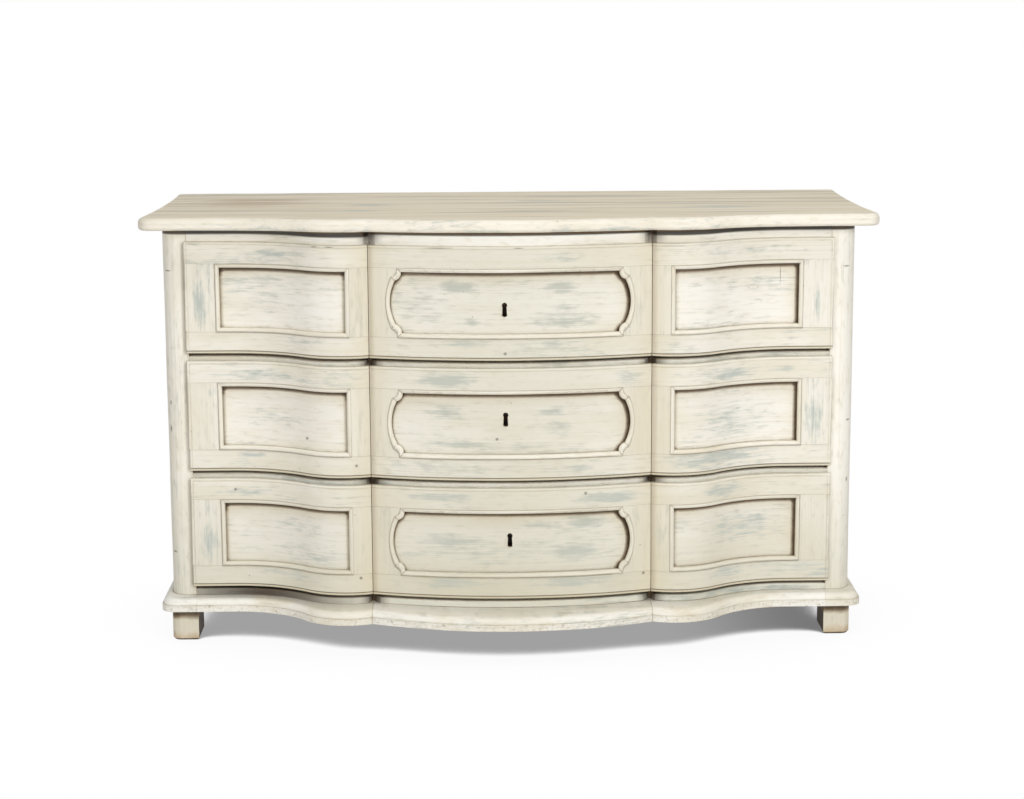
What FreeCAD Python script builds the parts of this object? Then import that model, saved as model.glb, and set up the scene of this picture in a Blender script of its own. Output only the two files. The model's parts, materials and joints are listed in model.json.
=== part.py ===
"""Commode with a crossbow front: three panelled drawers between posts, under a shaped top.

Millimetres. X is the width, -Y the front, +Z up. The origin is on the floor, in the middle of the plan.
"""
import FreeCAD, Part
import math
import os
import Sketcher

# Driving dimensions
SIZES = {
    # whole chest
    "total_width": 1450,
    "total_depth": 650,
    "total_height": 860,
    # plan of the front, measured inwards from the end of a drawer
    "end_flat": 86,
    "wing_rise": 230,
    "hump_run": 49,
    "inflection_share": 0.36,
    "drawer_bow": 118,
    "drawer_hump": 82,
    "top_bow": 76,
    "top_hump": 50,
    "base_bow": 163,
    "base_hump": 112,
    # top
    "top_thickness": 25,
    "top_front_overhang": 45,
    "top_side_overhang": 38.5,
    "top_back_overhang": 8,
    "top_back_narrowing": 15,
    "top_side_radius": 4200,
    "top_corner_round": 28,
    "top_crease_round": 14,
    "top_upper_round": 11,
    "top_lower_round": 7,
    "top_front_board_depth": 250,
    # posts and sides
    "post_width": 49.5,
    "post_depth": 70,
    "post_round": 32,
    "rear_post_depth": 50,
    "side_rail_thickness": 22,
    "side_rail_recess": 4,
    "side_panel_thickness": 12,
    "side_top_rail_height": 75,
    "side_bottom_rail_height": 85,
    # levels
    "foot_height": 65,
    "base_height": 26,
    "bottom_rail_height": 13,
    "bottom_gap": 7.5,
    "drawer_gap": 15.5,
    "top_rail_show": 26.5,
    "drawer_lip": 5,
    "side_lip": 4,
    # rails between the drawers
    "rail_clearance": 0.5,
    "rail_slit": 6,
    "crease_notch_inner": 20,
    "crease_notch_outer": 14,
    "crease_notch_floor": 7,
    "crease_notch_depth": 18,
    "crease_notch_lead": 10,
    "crease_notch_round": 45,
    # drawer front
    "frame_thickness": 12,
    "board_thickness": 22,
    "board_clearance": 1,
    "frame_rail": 43,
    "outer_stile": 60,
    "inner_stile": 37,
    "centre_stile": 34,
    "crease_joint": 1,
    "quirk_inset": 4.5,
    "quirk_width": 1.5,
    "quirk_depth": 0.8,
    "moulding_width": 8,
    "moulding_proud": 1,
    "moulding_round": 5,
    "ear_width": 12,
    "ear_height": 17,
    "ear_round": 16,
    "end_bulge": 11,
    # drawer box
    "side_clearance": 2.5,
    "runner_clearance": 0.3,
    "drawer_side_thickness": 14,
    "box_top_clearance": 16,
    "drawer_bottom_rise": 6,
    "drawer_bottom_thickness": 8,
    "drawer_bottom_clearance": 0.3,
    "drawer_back_thickness": 14,
    "drawer_back_drop": 12,
    # locks
    "keyhole_round": 5,
    "keyhole_neck_width": 7.5,
    "keyhole_foot_width": 9.5,
    "keyhole_foot_round": 8,
    "keyhole_slot_length": 21,
    "key_pin_radius": 2,
    "key_pin_back": 7,
    "lock_width": 64,
    "lock_depth": 14,
    "lock_below_keyhole": 30,
    "lock_seat_depth": 3,
    "bolt_width": 14,
    "bolt_thickness": 7,
    "bolt_length": 70,
    "bolt_inset": 3.5,
    "bolt_clearance": 0.3,
    "bolt_drop": 1,
    "bolt_throw": 8,
    "mortise_clearance": 1.5,
    # inside the case
    "runner_height": 22,
    "runner_overlap": 36,
    "guide_height": 25,
    "guide_clearance": 1,
    "kicker_height": 20,
    "stop_length": 19,
    "stop_height": 24,
    "stop_clearance": 0.5,
    "bottom_board_thickness": 10,
    "back_thickness": 14,
    "back_board_gap": 2,
    "back_board_inset": 2,
    "back_rail_thickness": 20,
    "back_rail_height": 70,
    "nail_head_radius": 4,
    "nail_head_height": 1.2,
    "nail_edge": 30,
    "glue_block_length": 60,
    "glue_block_width": 20,
    # base and feet
    "base_setback": 20,
    "base_side_overhang": 18.5,
    "base_fillet_height": 12.5,
    "base_fillet_step": 3,
    "base_ovolo_round": 12.5,
    "base_corner_round": 30,
    "base_corner_joint": 4,
    "base_ledge": 20,
    "base_side_ledge": 17,
    "foot_width": 54,
    "foot_depth": 90,
    "foot_setback": 24,
    "foot_round": 18,
    "foot_back_setback": 12,
    "foot_chamfer": 4,
}

# Each keyhole's own place: right of the chest's middle, and above the drawer's lower edge
KEYHOLES = {"top": (-12, 107), "middle": (-11, 129), "bottom": (-4, 125)}
DRAWERS = ("top", "middle", "bottom")
BACK_BOARDS = 3

for drawer, (shift, rise) in KEYHOLES.items():
    SIZES["keyhole_shift_" + drawer] = shift
    SIZES["keyhole_rise_" + drawer] = rise

# Values worked out from the driving dimensions, in the order in which they build on each other
PLACES = {
    "half_width": "sizes.total_width / 2",
    "back_half_width": "sizes.total_width / 2 - sizes.top_back_narrowing",
    "back_y": "sizes.total_depth / 2",
    "base_end_y": "sizes.base_bow - sizes.total_depth / 2",
    "nose_end_y": ".base_end_y - sizes.base_setback",
    "face_end_y": ".nose_end_y + sizes.top_front_overhang",
    "lip_back_y": ".face_end_y + sizes.frame_thickness",
    "board_back_y": ".lip_back_y + sizes.board_thickness",
    "post_front_y": ".lip_back_y + sizes.rail_clearance",
    "post_back_y": ".post_front_y + sizes.post_depth",
    "top_joint_y": ".nose_end_y + sizes.top_front_board_depth",
    "case_back_y": ".back_y - sizes.top_back_overhang",
    "inner_back_y": ".case_back_y - sizes.back_thickness",
    "rear_post_y": ".inner_back_y - sizes.rear_post_depth",
    "drawer_back_y": ".rear_post_y - sizes.stop_length - sizes.stop_clearance",
    "case_half": ".half_width - sizes.top_side_overhang",
    "post_inner_x": ".case_half - sizes.post_width",
    "panel_inner_x": ".case_half - sizes.side_rail_recess - sizes.side_rail_thickness",
    "drawer_half": ".post_inner_x + sizes.side_lip",
    "box_half": ".post_inner_x - sizes.side_clearance",
    "box_inner_x": ".box_half - sizes.drawer_side_thickness",
    "low_x": ".drawer_half - sizes.end_flat",
    "hump_x": ".low_x - sizes.wing_rise",
    "crease_x": ".hump_x - sizes.hump_run",
    "inflection_x": ".hump_x + sizes.wing_rise * sizes.inflection_share",
    "base_half": ".case_half + sizes.base_side_overhang",
    "base_joint_x": ".post_inner_x - sizes.base_corner_joint",
    "base_side_x": ".post_inner_x - sizes.base_side_ledge",
    "base_back_y": ".post_back_y + sizes.base_ledge",
    "base_top": "sizes.foot_height + sizes.base_height",
    "case_top": "sizes.total_height - sizes.top_thickness",
    "case_height": ".case_top - .base_top",
    "level_bottom": ".base_top + sizes.bottom_rail_height + sizes.bottom_gap",
    "drawer_stack": ".case_top - sizes.top_rail_show - .level_bottom",
    "drawer_height": "(.drawer_stack - 2 * sizes.drawer_gap) / 3",
    "drawer_pitch": ".drawer_height + sizes.drawer_gap",
    "level_middle": ".level_bottom + .drawer_pitch",
    "level_top": ".level_middle + .drawer_pitch",
    "window_low": "sizes.frame_rail",
    "window_high": ".drawer_height - sizes.frame_rail",
    "wing_window_in": ".crease_x + sizes.inner_stile",
    "wing_window_out": ".drawer_half - sizes.outer_stile",
    "centre_window_half": ".crease_x - sizes.centre_stile",
    "board_low": "sizes.drawer_lip + sizes.board_clearance",
    "board_high": ".drawer_height - .board_low",
    "box_low": "sizes.drawer_lip + sizes.runner_clearance",
    "box_floor": ".box_low + sizes.drawer_bottom_rise",
    "box_high": ".drawer_height - sizes.drawer_lip - sizes.box_top_clearance",
    "lock_seat_y": ".board_back_y - sizes.drawer_bow - sizes.lock_seat_depth",
    "bolt_high": ".board_high - sizes.bolt_drop",
    "bolt_low": ".bolt_high - sizes.bolt_length",
    "foot_front_y": ".base_end_y + sizes.foot_setback",
    "foot_back_y": ".case_back_y - sizes.foot_back_setback",
    "foot_outer_x": ".case_half",
    "back_board_height": "(.case_height - %d * sizes.back_board_gap) / %d" % (BACK_BOARDS - 1, BACK_BOARDS),
}

for drawer in DRAWERS:
    PLACES["lock_low_" + drawer] = "sizes.keyhole_rise_%s - sizes.lock_below_keyhole" % drawer

# Radii and depths of one shaped plan: hollow ends, humped wings, creases and a bowed centre
for plan in ("drawer", "top", "base"):
    PLACES[plan + "_sweep"] = (
        "(sizes.wing_rise * sizes.wing_rise + sizes.{0}_hump * sizes.{0}_hump) / (2 * sizes.{0}_hump)"
    ).format(plan)
    PLACES[plan + "_hump_radius"] = "sizes.inflection_share * .%s_sweep" % plan
    PLACES[plan + "_hollow_radius"] = ".{0}_sweep - .{0}_hump_radius".format(plan)
    PLACES[plan + "_inflection"] = "sizes.%s_hump * (1 - sizes.inflection_share)" % plan
    PLACES[plan + "_crease"] = (
        "sizes.{0}_hump - .{0}_hump_radius"
        " + sqrt(.{0}_hump_radius * .{0}_hump_radius - sizes.hump_run * sizes.hump_run)"
    ).format(plan)
    PLACES[plan + "_rise"] = "sizes.{0}_bow - .{0}_crease".format(plan)
    PLACES[plan + "_centre_radius"] = (
        "(.crease_x * .crease_x + .{0}_rise * .{0}_rise) / (2 * .{0}_rise)"
    ).format(plan)

LEFT = "left"
RIGHT = "right"
TOLERANCE = 0.01
# Longer than anything in the chest, for tools that cut right through
REACH = "(2 * sizes.total_width)"
ACROSS = ("-" + REACH, REACH)
CASE_RISE = ("places.base_top", "places.case_top")
MORTISE_TOP = "places.bolt_high + sizes.bolt_throw + sizes.mortise_clearance"
# Turns that lay an upright rod along the depth
BACKWARDS = FreeCAD.Rotation(FreeCAD.Vector(1, 0, 0), -90)
FORWARDS = FreeCAD.Rotation(FreeCAD.Vector(1, 0, 0), 90)

doc = FreeCAD.newDocument("commode")
pieces = []


def fill_sheet(name, values, own_prefix=""):
    """A spreadsheet with one alias per value."""
    sheet = doc.addObject("Spreadsheet::Sheet", name)
    for row, (alias, content) in enumerate(values.items(), start=1):
        sheet.set("A%d" % row, alias)
        sheet.setAlias("B%d" % row, alias)
        sheet.set("B%d" % row, own_prefix + str(content))
    doc.recompute()
    return sheet


def own_names(expression):
    """A name that starts with a dot is a cell of the same sheet."""
    words = expression.replace("(.", "( .").split(" ")
    return " ".join(word[1:] if word.startswith(".") else word for word in words)


sizes = fill_sheet("sizes", SIZES)
places = fill_sheet("places", {name: own_names(text) for name, text in PLACES.items()}, "=")


def size(expression):
    """The present value of an expression."""
    return float(sizes.evalExpression(expression))


def keep(node, label):
    """Name a sub-part: its label is its node's name."""
    node.Label = label
    pieces.append(node)
    return node


def bind(node, **expressions):
    """Tie properties to expressions; x, y and z are the placement."""
    for name, expression in expressions.items():
        path = "Placement.Base." + name if name in ("x", "y", "z") else name
        node.setExpression(path, expression)
    return node


def arc_through(start, end, radius, side):
    """The shorter arc from start to end that bulges to one side of the way."""
    chord = end - start
    middle = (start + end) * 0.5
    left = FreeCAD.Vector(-chord.y, chord.x, 0).normalize()
    rise = math.sqrt(radius ** 2 - (chord.Length / 2) ** 2)
    centre = middle - left * rise if side == LEFT else middle + left * rise
    first, last = (end, start) if side == LEFT else (start, end)
    angles = [math.atan2(point.y - centre.y, point.x - centre.x) for point in (first, last)]
    circle = Part.Circle(centre, FreeCAD.Vector(0, 0, 1), radius)
    return Part.ArcOfCircle(circle, angles[0], angles[1])


def draw_outline(sketch, corners, bends):
    """A closed outline: corners are pairs of expressions, bends give an edge a radius and a side."""
    points = [FreeCAD.Vector(size(across), size(up), 0) for across, up in corners]
    ends = []
    for number, start in enumerate(points):
        end = points[(number + 1) % len(points)]
        if number in bends:
            radius, side = bends[number]
            index = sketch.addGeometry(arc_through(start, end, size(radius), side))
            ends.append((index, 2, 1) if side == LEFT else (index, 1, 2))
        else:
            index = sketch.addGeometry(Part.LineSegment(start, end))
            ends.append((index, 1, 2))
    for number, (index, _, finish) in enumerate(ends):
        follower, begin, _ = ends[(number + 1) % len(ends)]
        sketch.addConstraint(Sketcher.Constraint("Coincident", index, finish, follower, begin))
    for number, (across, up) in enumerate(corners):
        index, begin, _ = ends[number]
        for kind, expression in (("DistanceX", across), ("DistanceY", up)):
            constraint = Sketcher.Constraint(kind, -1, 1, index, begin, size(expression))
            sketch.setExpression("Constraints[%d]" % sketch.addConstraint(constraint), expression)
    for number, (radius, _) in bends.items():
        constraint = Sketcher.Constraint("Radius", ends[number][0], size(radius))
        sketch.setExpression("Constraints[%d]" % sketch.addConstraint(constraint), radius)


def add_sketch(body, name, corners, bends, plane):
    """A sketch on one of the body's own planes."""
    sketch = body.newObject("Sketcher::SketchObject", name)
    support = [feature for feature in body.Origin.OriginFeatures if feature.Role == plane][0]
    sketch.AttachmentSupport = [(support, "")]
    sketch.MapMode = "FlatFace"
    draw_outline(sketch, corners, bends or {})
    return sketch


def add_pad(body, name, corners, bends, length, plane="XY_Plane", lift=None):
    """Pad an outline, lifted from its plane if asked."""
    sketch = add_sketch(body, name + "_outline", corners, bends, plane)
    if lift:
        sketch.setExpression("AttachmentOffset.Base.z", lift)
    pad = body.newObject("PartDesign::Pad", name)
    pad.Profile = sketch
    pad.setExpression("Length", length)
    return pad


def plate(name, corners, bends, height, level):
    """A flat piece of a given outline at a level."""
    body = doc.addObject("PartDesign::Body", name)
    add_pad(body, name + "_pad", corners, bends, height)
    bind(body, z=level)
    return body


def prism(name, corners, bends=None):
    """A tool that runs from front to back through the whole chest, from an outline seen from the front."""
    body = doc.addObject("PartDesign::Body", name)
    pad = add_pad(body, name + "_pad", corners, bends, REACH, "XZ_Plane")
    pad.SideType = "Symmetric"
    return body


def box(name, across, back, up):
    """A block between pairs of expressions along X, Y and Z."""
    block = doc.addObject("Part::Box", name)
    for path, length, (low, high) in (("x", "Length", across), ("y", "Width", back), ("z", "Height", up)):
        bind(block, **{path: low, length: "(%s) - (%s)" % (high, low)})
    return block


def rod(name, measure, turn, across, back, up):
    """A round rod of a radius and length, from a place in a direction."""
    cylinder = doc.addObject("Part::Cylinder", name)
    cylinder.Placement = FreeCAD.Placement(FreeCAD.Vector(), turn)
    return bind(cylinder, Radius=measure[0], Height=measure[1], x=across, y=back, z=up)


def boolean(kind, name, base, tool):
    """Cut, common or fuse of two objects."""
    result = doc.addObject("Part::" + kind, name)
    result.Base = base
    result.Tool = tool
    return result


def group(name, members):
    """Several solids kept apart in one object."""
    compound = doc.addObject("Part::Compound", name)
    compound.Links = members
    return compound


def mirrored(name, source):
    """The left-hand twin of a right-hand piece."""
    twin = doc.addObject("Part::Mirroring", name)
    twin.Source = source
    twin.Normal = FreeCAD.Vector(1, 0, 0)
    return twin


def minus(expression):
    """The expression with its sign turned."""
    return "-(%s)" % expression


def plus(*expressions):
    """The sum of expressions."""
    return " + ".join("(%s)" % expression for expression in expressions)


def less(first, second):
    """The first expression without the second."""
    return "(%s) - (%s)" % (first, second)


def edges_where(shape, test):
    """Names of the edges whose ends and middle all pass a test."""
    found = []
    for number, edge in enumerate(shape.Edges, start=1):
        middle = edge.valueAt((edge.FirstParameter + edge.LastParameter) / 2)
        points = [vertex.Point for vertex in edge.Vertexes] + [middle]
        if all(test(point) for point in points):
            found.append("Edge%d" % number)
    return found


def dress(body, kind, name, edges, **expressions):
    """A fillet or chamfer on named edges of a body's last feature."""
    base = body.Tip
    feature = body.newObject("PartDesign::" + kind, name)
    feature.Base = (base, edges)
    bind(feature, **expressions)
    doc.recompute()


def near(value, expression):
    """Whether a value agrees with an expression."""
    return abs(value - size(expression)) < TOLERANCE


# Plan of the shaped front


def front_curve(plan, end_y):
    """Corners and bends of a shaped front from the left hollow to the right, ends lying at end_y."""
    inflection = less(end_y, "places.%s_inflection" % plan)
    crease = less(end_y, "places.%s_crease" % plan)
    right = [("places.crease_x", crease), ("places.inflection_x", inflection), ("places.low_x", end_y)]
    left = [(minus(across), back) for across, back in reversed(right)]
    hollow = "places.%s_hollow_radius" % plan
    hump = "places.%s_hump_radius" % plan
    centre = "places.%s_centre_radius" % plan
    bends = [(hollow, LEFT), (hump, RIGHT), (centre, RIGHT), (hump, RIGHT), (hollow, LEFT)]
    return left + right, bends


def shaped_outline(plan, end_y, half_width, back_y):
    """A board with a shaped front, straight ends and a straight back."""
    curve, bends = front_curve(plan, end_y)
    left = minus(half_width)
    corners = [(left, back_y), (left, end_y)] + curve + [(half_width, end_y), (half_width, back_y)]
    return corners, {number + 2: bend for number, bend in enumerate(bends)}


def shaped_band(plan, front_y, back_y, half_width):
    """A strip with a shaped front and the same shape at its back."""
    front, bends = front_curve(plan, front_y)
    back, _ = front_curve(plan, back_y)
    left = minus(half_width)
    corners = [(left, back_y), (left, front_y)] + front
    corners += [(half_width, front_y), (half_width, back_y)] + list(reversed(back))
    turned = {number + 2: bend for number, bend in enumerate(bends)}
    first_back = len(front) + 4
    for number, (radius, side) in enumerate(reversed(bends)):
        turned[first_back + number] = (radius, LEFT if side == RIGHT else RIGHT)
    return corners, turned


def front_at(plan, end_y, across):
    """How far back the shaped front lies at a place across."""
    across = abs(across)
    hump_x, low_x = size("places.hump_x"), size("places.low_x")
    if across >= low_x:
        return size(end_y)
    if across <= size("places.crease_x"):
        radius = size("places.%s_centre_radius" % plan)
        return size(end_y) - size("sizes.%s_bow" % plan) + radius - math.sqrt(radius ** 2 - across ** 2)
    if across <= size("places.inflection_x"):
        radius = size("places.%s_hump_radius" % plan)
        depth = radius - math.sqrt(radius ** 2 - (across - hump_x) ** 2)
        return size(end_y) - size("sizes.%s_hump" % plan) + depth
    radius = size("places.%s_hollow_radius" % plan)
    return size(end_y) - radius + math.sqrt(radius ** 2 - (low_x - across) ** 2)


# Top


def rim_edges(shape, level):
    """Edges of the top at a level, all round but for the straight back."""
    rear = size("places.back_y")
    names = []
    for name in edges_where(shape, lambda point: abs(point.z - level) < TOLERANCE):
        edge = shape.getElement(name)
        if not all(abs(vertex.Y - rear) < TOLERANCE for vertex in edge.Vertexes):
            names.append(name)
    return names


def make_top():
    """Two boards with one moulded nose around the front and the sides."""
    half, back_half = "places.half_width", "places.back_half_width"
    nose, back = "places.nose_end_y", "places.back_y"
    curve, bends = front_curve("top", nose)
    corner_x = less(half, "sizes.top_corner_round")
    corner_y = plus(nose, "sizes.top_corner_round")
    corners = [(minus(back_half), back), (minus(half), corner_y), (minus(corner_x), nose)] + curve
    corners += [(corner_x, nose), (half, corner_y), (back_half, back)]
    side = ("sizes.top_side_radius", LEFT)
    corner = ("sizes.top_corner_round", RIGHT)
    turns = {0: side, 1: corner, len(corners) - 3: corner, len(corners) - 2: side}
    turns.update({number + 3: bend for number, bend in enumerate(bends)})
    body = plate("whole_top", corners, turns, "sizes.top_thickness", "places.case_top")
    doc.recompute()
    in_crease = edges_where(body.Tip.Shape, lambda point: near(abs(point.x), "places.crease_x"))
    dress(body, "Fillet", "top_crease_fillet", in_crease, Radius="sizes.top_crease_round")
    upper = rim_edges(body.Tip.Shape, size("sizes.top_thickness"))
    dress(body, "Fillet", "top_upper_fillet", upper, Radius="sizes.top_upper_round")
    lower = rim_edges(body.Tip.Shape, 0)
    dress(body, "Fillet", "top_lower_fillet", lower, Radius="sizes.top_lower_round")
    joint = "places.top_joint_y"
    for name, span in (("front", (minus(REACH), joint)), ("rear", (joint, REACH))):
        block = box("top_%s_block" % name, ACROSS, span, ACROSS)
        keep(boolean("Common", "top_%s_common" % name, body, block), "top_%s_board" % name)


# Posts, sides and back


def make_posts():
    """Front posts with a rounded outer corner, and square rear posts."""
    inner, outer = "places.post_inner_x", "places.case_half"
    front, back = "places.post_front_y", "places.post_back_y"
    rounded = "sizes.post_round"
    corners = [(inner, front), (less(outer, rounded), front), (outer, plus(front, rounded))]
    corners += [(outer, back), (inner, back)]
    post = plate("right_front_post", corners, {1: (rounded, RIGHT)}, "places.case_height", "places.base_top")
    rear = box("right_rear_post", (inner, outer), ("places.rear_post_y", "places.inner_back_y"), CASE_RISE)
    for name, right in (("front_post", post), ("rear_post", rear)):
        keep(right, "right_" + name)
        keep(mirrored("left_%s_twin" % name, right), "left_" + name)


def make_sides():
    """A panel each side, with a rail above and one below it."""
    inner = "places.panel_inner_x"
    along = ("places.post_back_y", "places.rear_post_y")
    above = less("places.case_top", "sizes.side_top_rail_height")
    below = plus("places.base_top", "sizes.side_bottom_rail_height")
    panel = box("side_panel", (inner, plus(inner, "sizes.side_panel_thickness")), along, (below, above))
    keep(panel, "right_side_panel")
    keep(mirrored("side_panel_twin", panel), "left_side_panel")
    rails = []
    for name, rise in (("top", (above, "places.case_top")), ("bottom", ("places.base_top", below))):
        thick = (inner, plus(inner, "sizes.side_rail_thickness"))
        rail = box("side_%s_rail" % name, thick, along, rise)
        rails += [rail, mirrored("side_%s_rail_twin" % name, rail)]
    keep(group("side_rail_group", rails), "side_rails")


def make_back():
    """Rails between the rear posts, and boards nailed over them."""
    inner, back = "places.inner_back_y", "places.case_back_y"
    across = (minus("places.post_inner_x"), "places.post_inner_x")
    deep = (less(inner, "sizes.back_rail_thickness"), inner)
    height = "sizes.back_rail_height"
    rises = {
        "top": (less("places.case_top", height), "places.case_top"),
        "bottom": ("places.base_top", plus("places.base_top", height)),
    }
    rails = [box("back_%s_rail" % name, across, deep, rise) for name, rise in rises.items()]
    keep(group("back_rail_group", rails), "back_rails")
    half = less("places.case_half", "sizes.back_board_inset")
    nail_x = less("places.case_half", "sizes.post_width / 2")
    boards, nails = [], []
    for number in range(BACK_BOARDS):
        low = plus("places.base_top", "%d * (places.back_board_height + sizes.back_board_gap)" % number)
        high = plus(low, "places.back_board_height")
        boards.append(box("back_board_%d" % number, (minus(half), half), (inner, back), (low, high)))
        for row, level in enumerate((plus(low, "sizes.nail_edge"), less(high, "sizes.nail_edge"))):
            for side, across_x in ((LEFT, minus(nail_x)), (RIGHT, nail_x)):
                name = "nail_%d_%d_%s" % (number, row, side)
                head = ("sizes.nail_head_radius", "sizes.nail_head_height")
                nails.append(rod(name, head, BACKWARDS, across_x, back, level))
    keep(group("back_board_group", boards), "back_boards")
    keep(group("back_nail_group", nails), "back_nails")


# Rails between the drawers


def bolt_mortise(drawer):
    """The hollow in the rail above a drawer that takes its lock bolt."""
    shift = "sizes.keyhole_shift_" + drawer
    level = "places.level_" + drawer
    half = "(sizes.bolt_width / 2 + sizes.mortise_clearance)"
    front = "places.lock_seat_y + sizes.bolt_inset"
    back = plus(front, "sizes.bolt_thickness + sizes.mortise_clearance")
    rise = (plus(level, "places.board_low"), plus(level, MORTISE_TOP))
    return box(
        drawer + "_mortise",
        (less(shift, half), plus(shift, half)),
        (less(front, "sizes.mortise_clearance"), back),
        rise,
    )


def crease_notches():
    """Two valleys with round shoulders that deepen the creases of a rail."""
    crease_y = less("places.post_front_y", "places.drawer_crease")
    lead, deep = less(crease_y, "sizes.crease_notch_lead"), plus(crease_y, "sizes.crease_notch_depth")
    inner = less("places.crease_x", "sizes.crease_notch_inner")
    outer = plus("places.crease_x", "sizes.crease_notch_outer")
    floor_in = less("places.crease_x", "sizes.crease_notch_floor / 2")
    floor_out = plus("places.crease_x", "sizes.crease_notch_floor / 2")
    corners = [(inner, minus(REACH)), (inner, lead), (floor_in, deep)]
    corners += [(floor_out, deep), (outer, lead), (outer, minus(REACH))]
    shoulder = ("sizes.crease_notch_round", RIGHT)
    notch = plate("crease_notch", corners, {1: shoulder, 3: shoulder}, REACH, "0")
    return [notch, mirrored("crease_notch_twin", notch)]


def make_rails():
    """Shaped rails, cut out at the creases, the upper three with a mortise for the lock bolt below."""
    half, back = "places.post_inner_x", "places.post_back_y"
    corners, bends = shaped_outline("drawer", "places.post_front_y", half, back)
    notches = crease_notches()
    drawer_top = "places.level_%s + places.drawer_height - sizes.drawer_lip"
    lows = {drawer: drawer_top % drawer for drawer in DRAWERS}
    highs = {
        "top": "places.case_top",
        "middle": "places.level_top - sizes.rail_slit",
        "bottom": "places.level_middle - sizes.rail_slit",
    }
    names = {"top": "top_rail", "middle": "upper_rail", "bottom": "lower_rail"}
    for drawer in DRAWERS:
        low, high = lows[drawer], highs[drawer]
        blank = plate(names[drawer] + "_blank", corners, bends, less(high, low), low)
        tools = group(names[drawer] + "_cuts", notches + [bolt_mortise(drawer)])
        keep(boolean("Cut", names[drawer] + "_cut", blank, tools), names[drawer])
    blank = plate("bottom_rail_blank", corners, bends, "sizes.bottom_rail_height", "places.base_top")
    keep(boolean("Cut", "bottom_rail_cut", blank, group("bottom_rail_cuts", notches)), "bottom_rail")


# Inside of the case


def both_sides(name, across, along, rise):
    """A right-hand block and its left-hand twin."""
    block = box(name, across, along, rise)
    return [block, mirrored(name + "_twin", block)]


def make_inside():
    """Runners, guides and stops for each drawer, kickers, bottom board and glue blocks."""
    along = ("places.post_back_y", "places.rear_post_y")
    runner_x = ("places.box_half - sizes.runner_overlap", "places.panel_inner_x")
    guide_x = ("places.box_half + sizes.guide_clearance", "places.panel_inner_x")
    stop_x = ("places.box_inner_x", "places.box_half")
    stop_y = ("places.drawer_back_y + sizes.stop_clearance", "places.rear_post_y")
    floor = "places.base_top + sizes.bottom_board_thickness"
    runners, guides, stops = [], [], []
    for drawer in DRAWERS:
        high = "places.level_%s + sizes.drawer_lip" % drawer
        low = floor if drawer == "bottom" else less(high, "sizes.runner_height")
        runners += both_sides(drawer + "_runner", runner_x, along, (low, high))
        guides += both_sides(drawer + "_guide", guide_x, along, (high, plus(high, "sizes.guide_height")))
        stops += both_sides(drawer + "_stop", stop_x, stop_y, (high, plus(high, "sizes.stop_height")))
    keep(group("runner_group", runners), "drawer_runners")
    keep(group("guide_group", guides), "drawer_guides")
    keep(group("stop_group", stops), "drawer_stops")
    under_top = (less("places.case_top", "sizes.kicker_height"), "places.case_top")
    keep(group("kicker_group", both_sides("kicker", runner_x, along, under_top)), "drawer_kickers")
    half = "places.post_inner_x"
    rail_front = less("places.inner_back_y", "sizes.back_rail_thickness")
    board_y = ("places.post_back_y", rail_front)
    keep(box("bottom_board", (minus(half), half), board_y, ("places.base_top", floor)), "bottom_board")
    width = "sizes.glue_block_width"
    block_rise = (less("places.case_top", width), "places.case_top")
    blocks = []
    rows = {
        "front": ("places.post_back_y", plus("places.post_back_y", width)),
        "back": (less(rail_front, width), rail_front),
    }
    for row, deep in rows.items():
        for place in ("places.crease_x / 2", "places.hump_x"):
            across = (less(place, "sizes.glue_block_length / 2"), plus(place, "sizes.glue_block_length / 2"))
            blocks += both_sides("%s_glue_block_%d" % (row, len(blocks)), across, deep, block_rise)
    keep(group("glue_block_group", blocks), "glue_blocks")


# Base moulding and feet


def moulded_edges(shape):
    """Upper outer edges of a base piece, without those where it meets its neighbours."""
    names = set(edges_where(shape, lambda point: near(point.z, "sizes.base_height")))
    for place in ("places.base_side_x", "places.base_joint_x", "places.crease_x"):
        names -= set(edges_where(shape, lambda point: near(abs(point.x), place)))
    for place in ("places.base_back_y", "places.case_back_y"):
        names -= set(edges_where(shape, lambda point: near(point.y, place)))
    return sorted(names)


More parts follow.
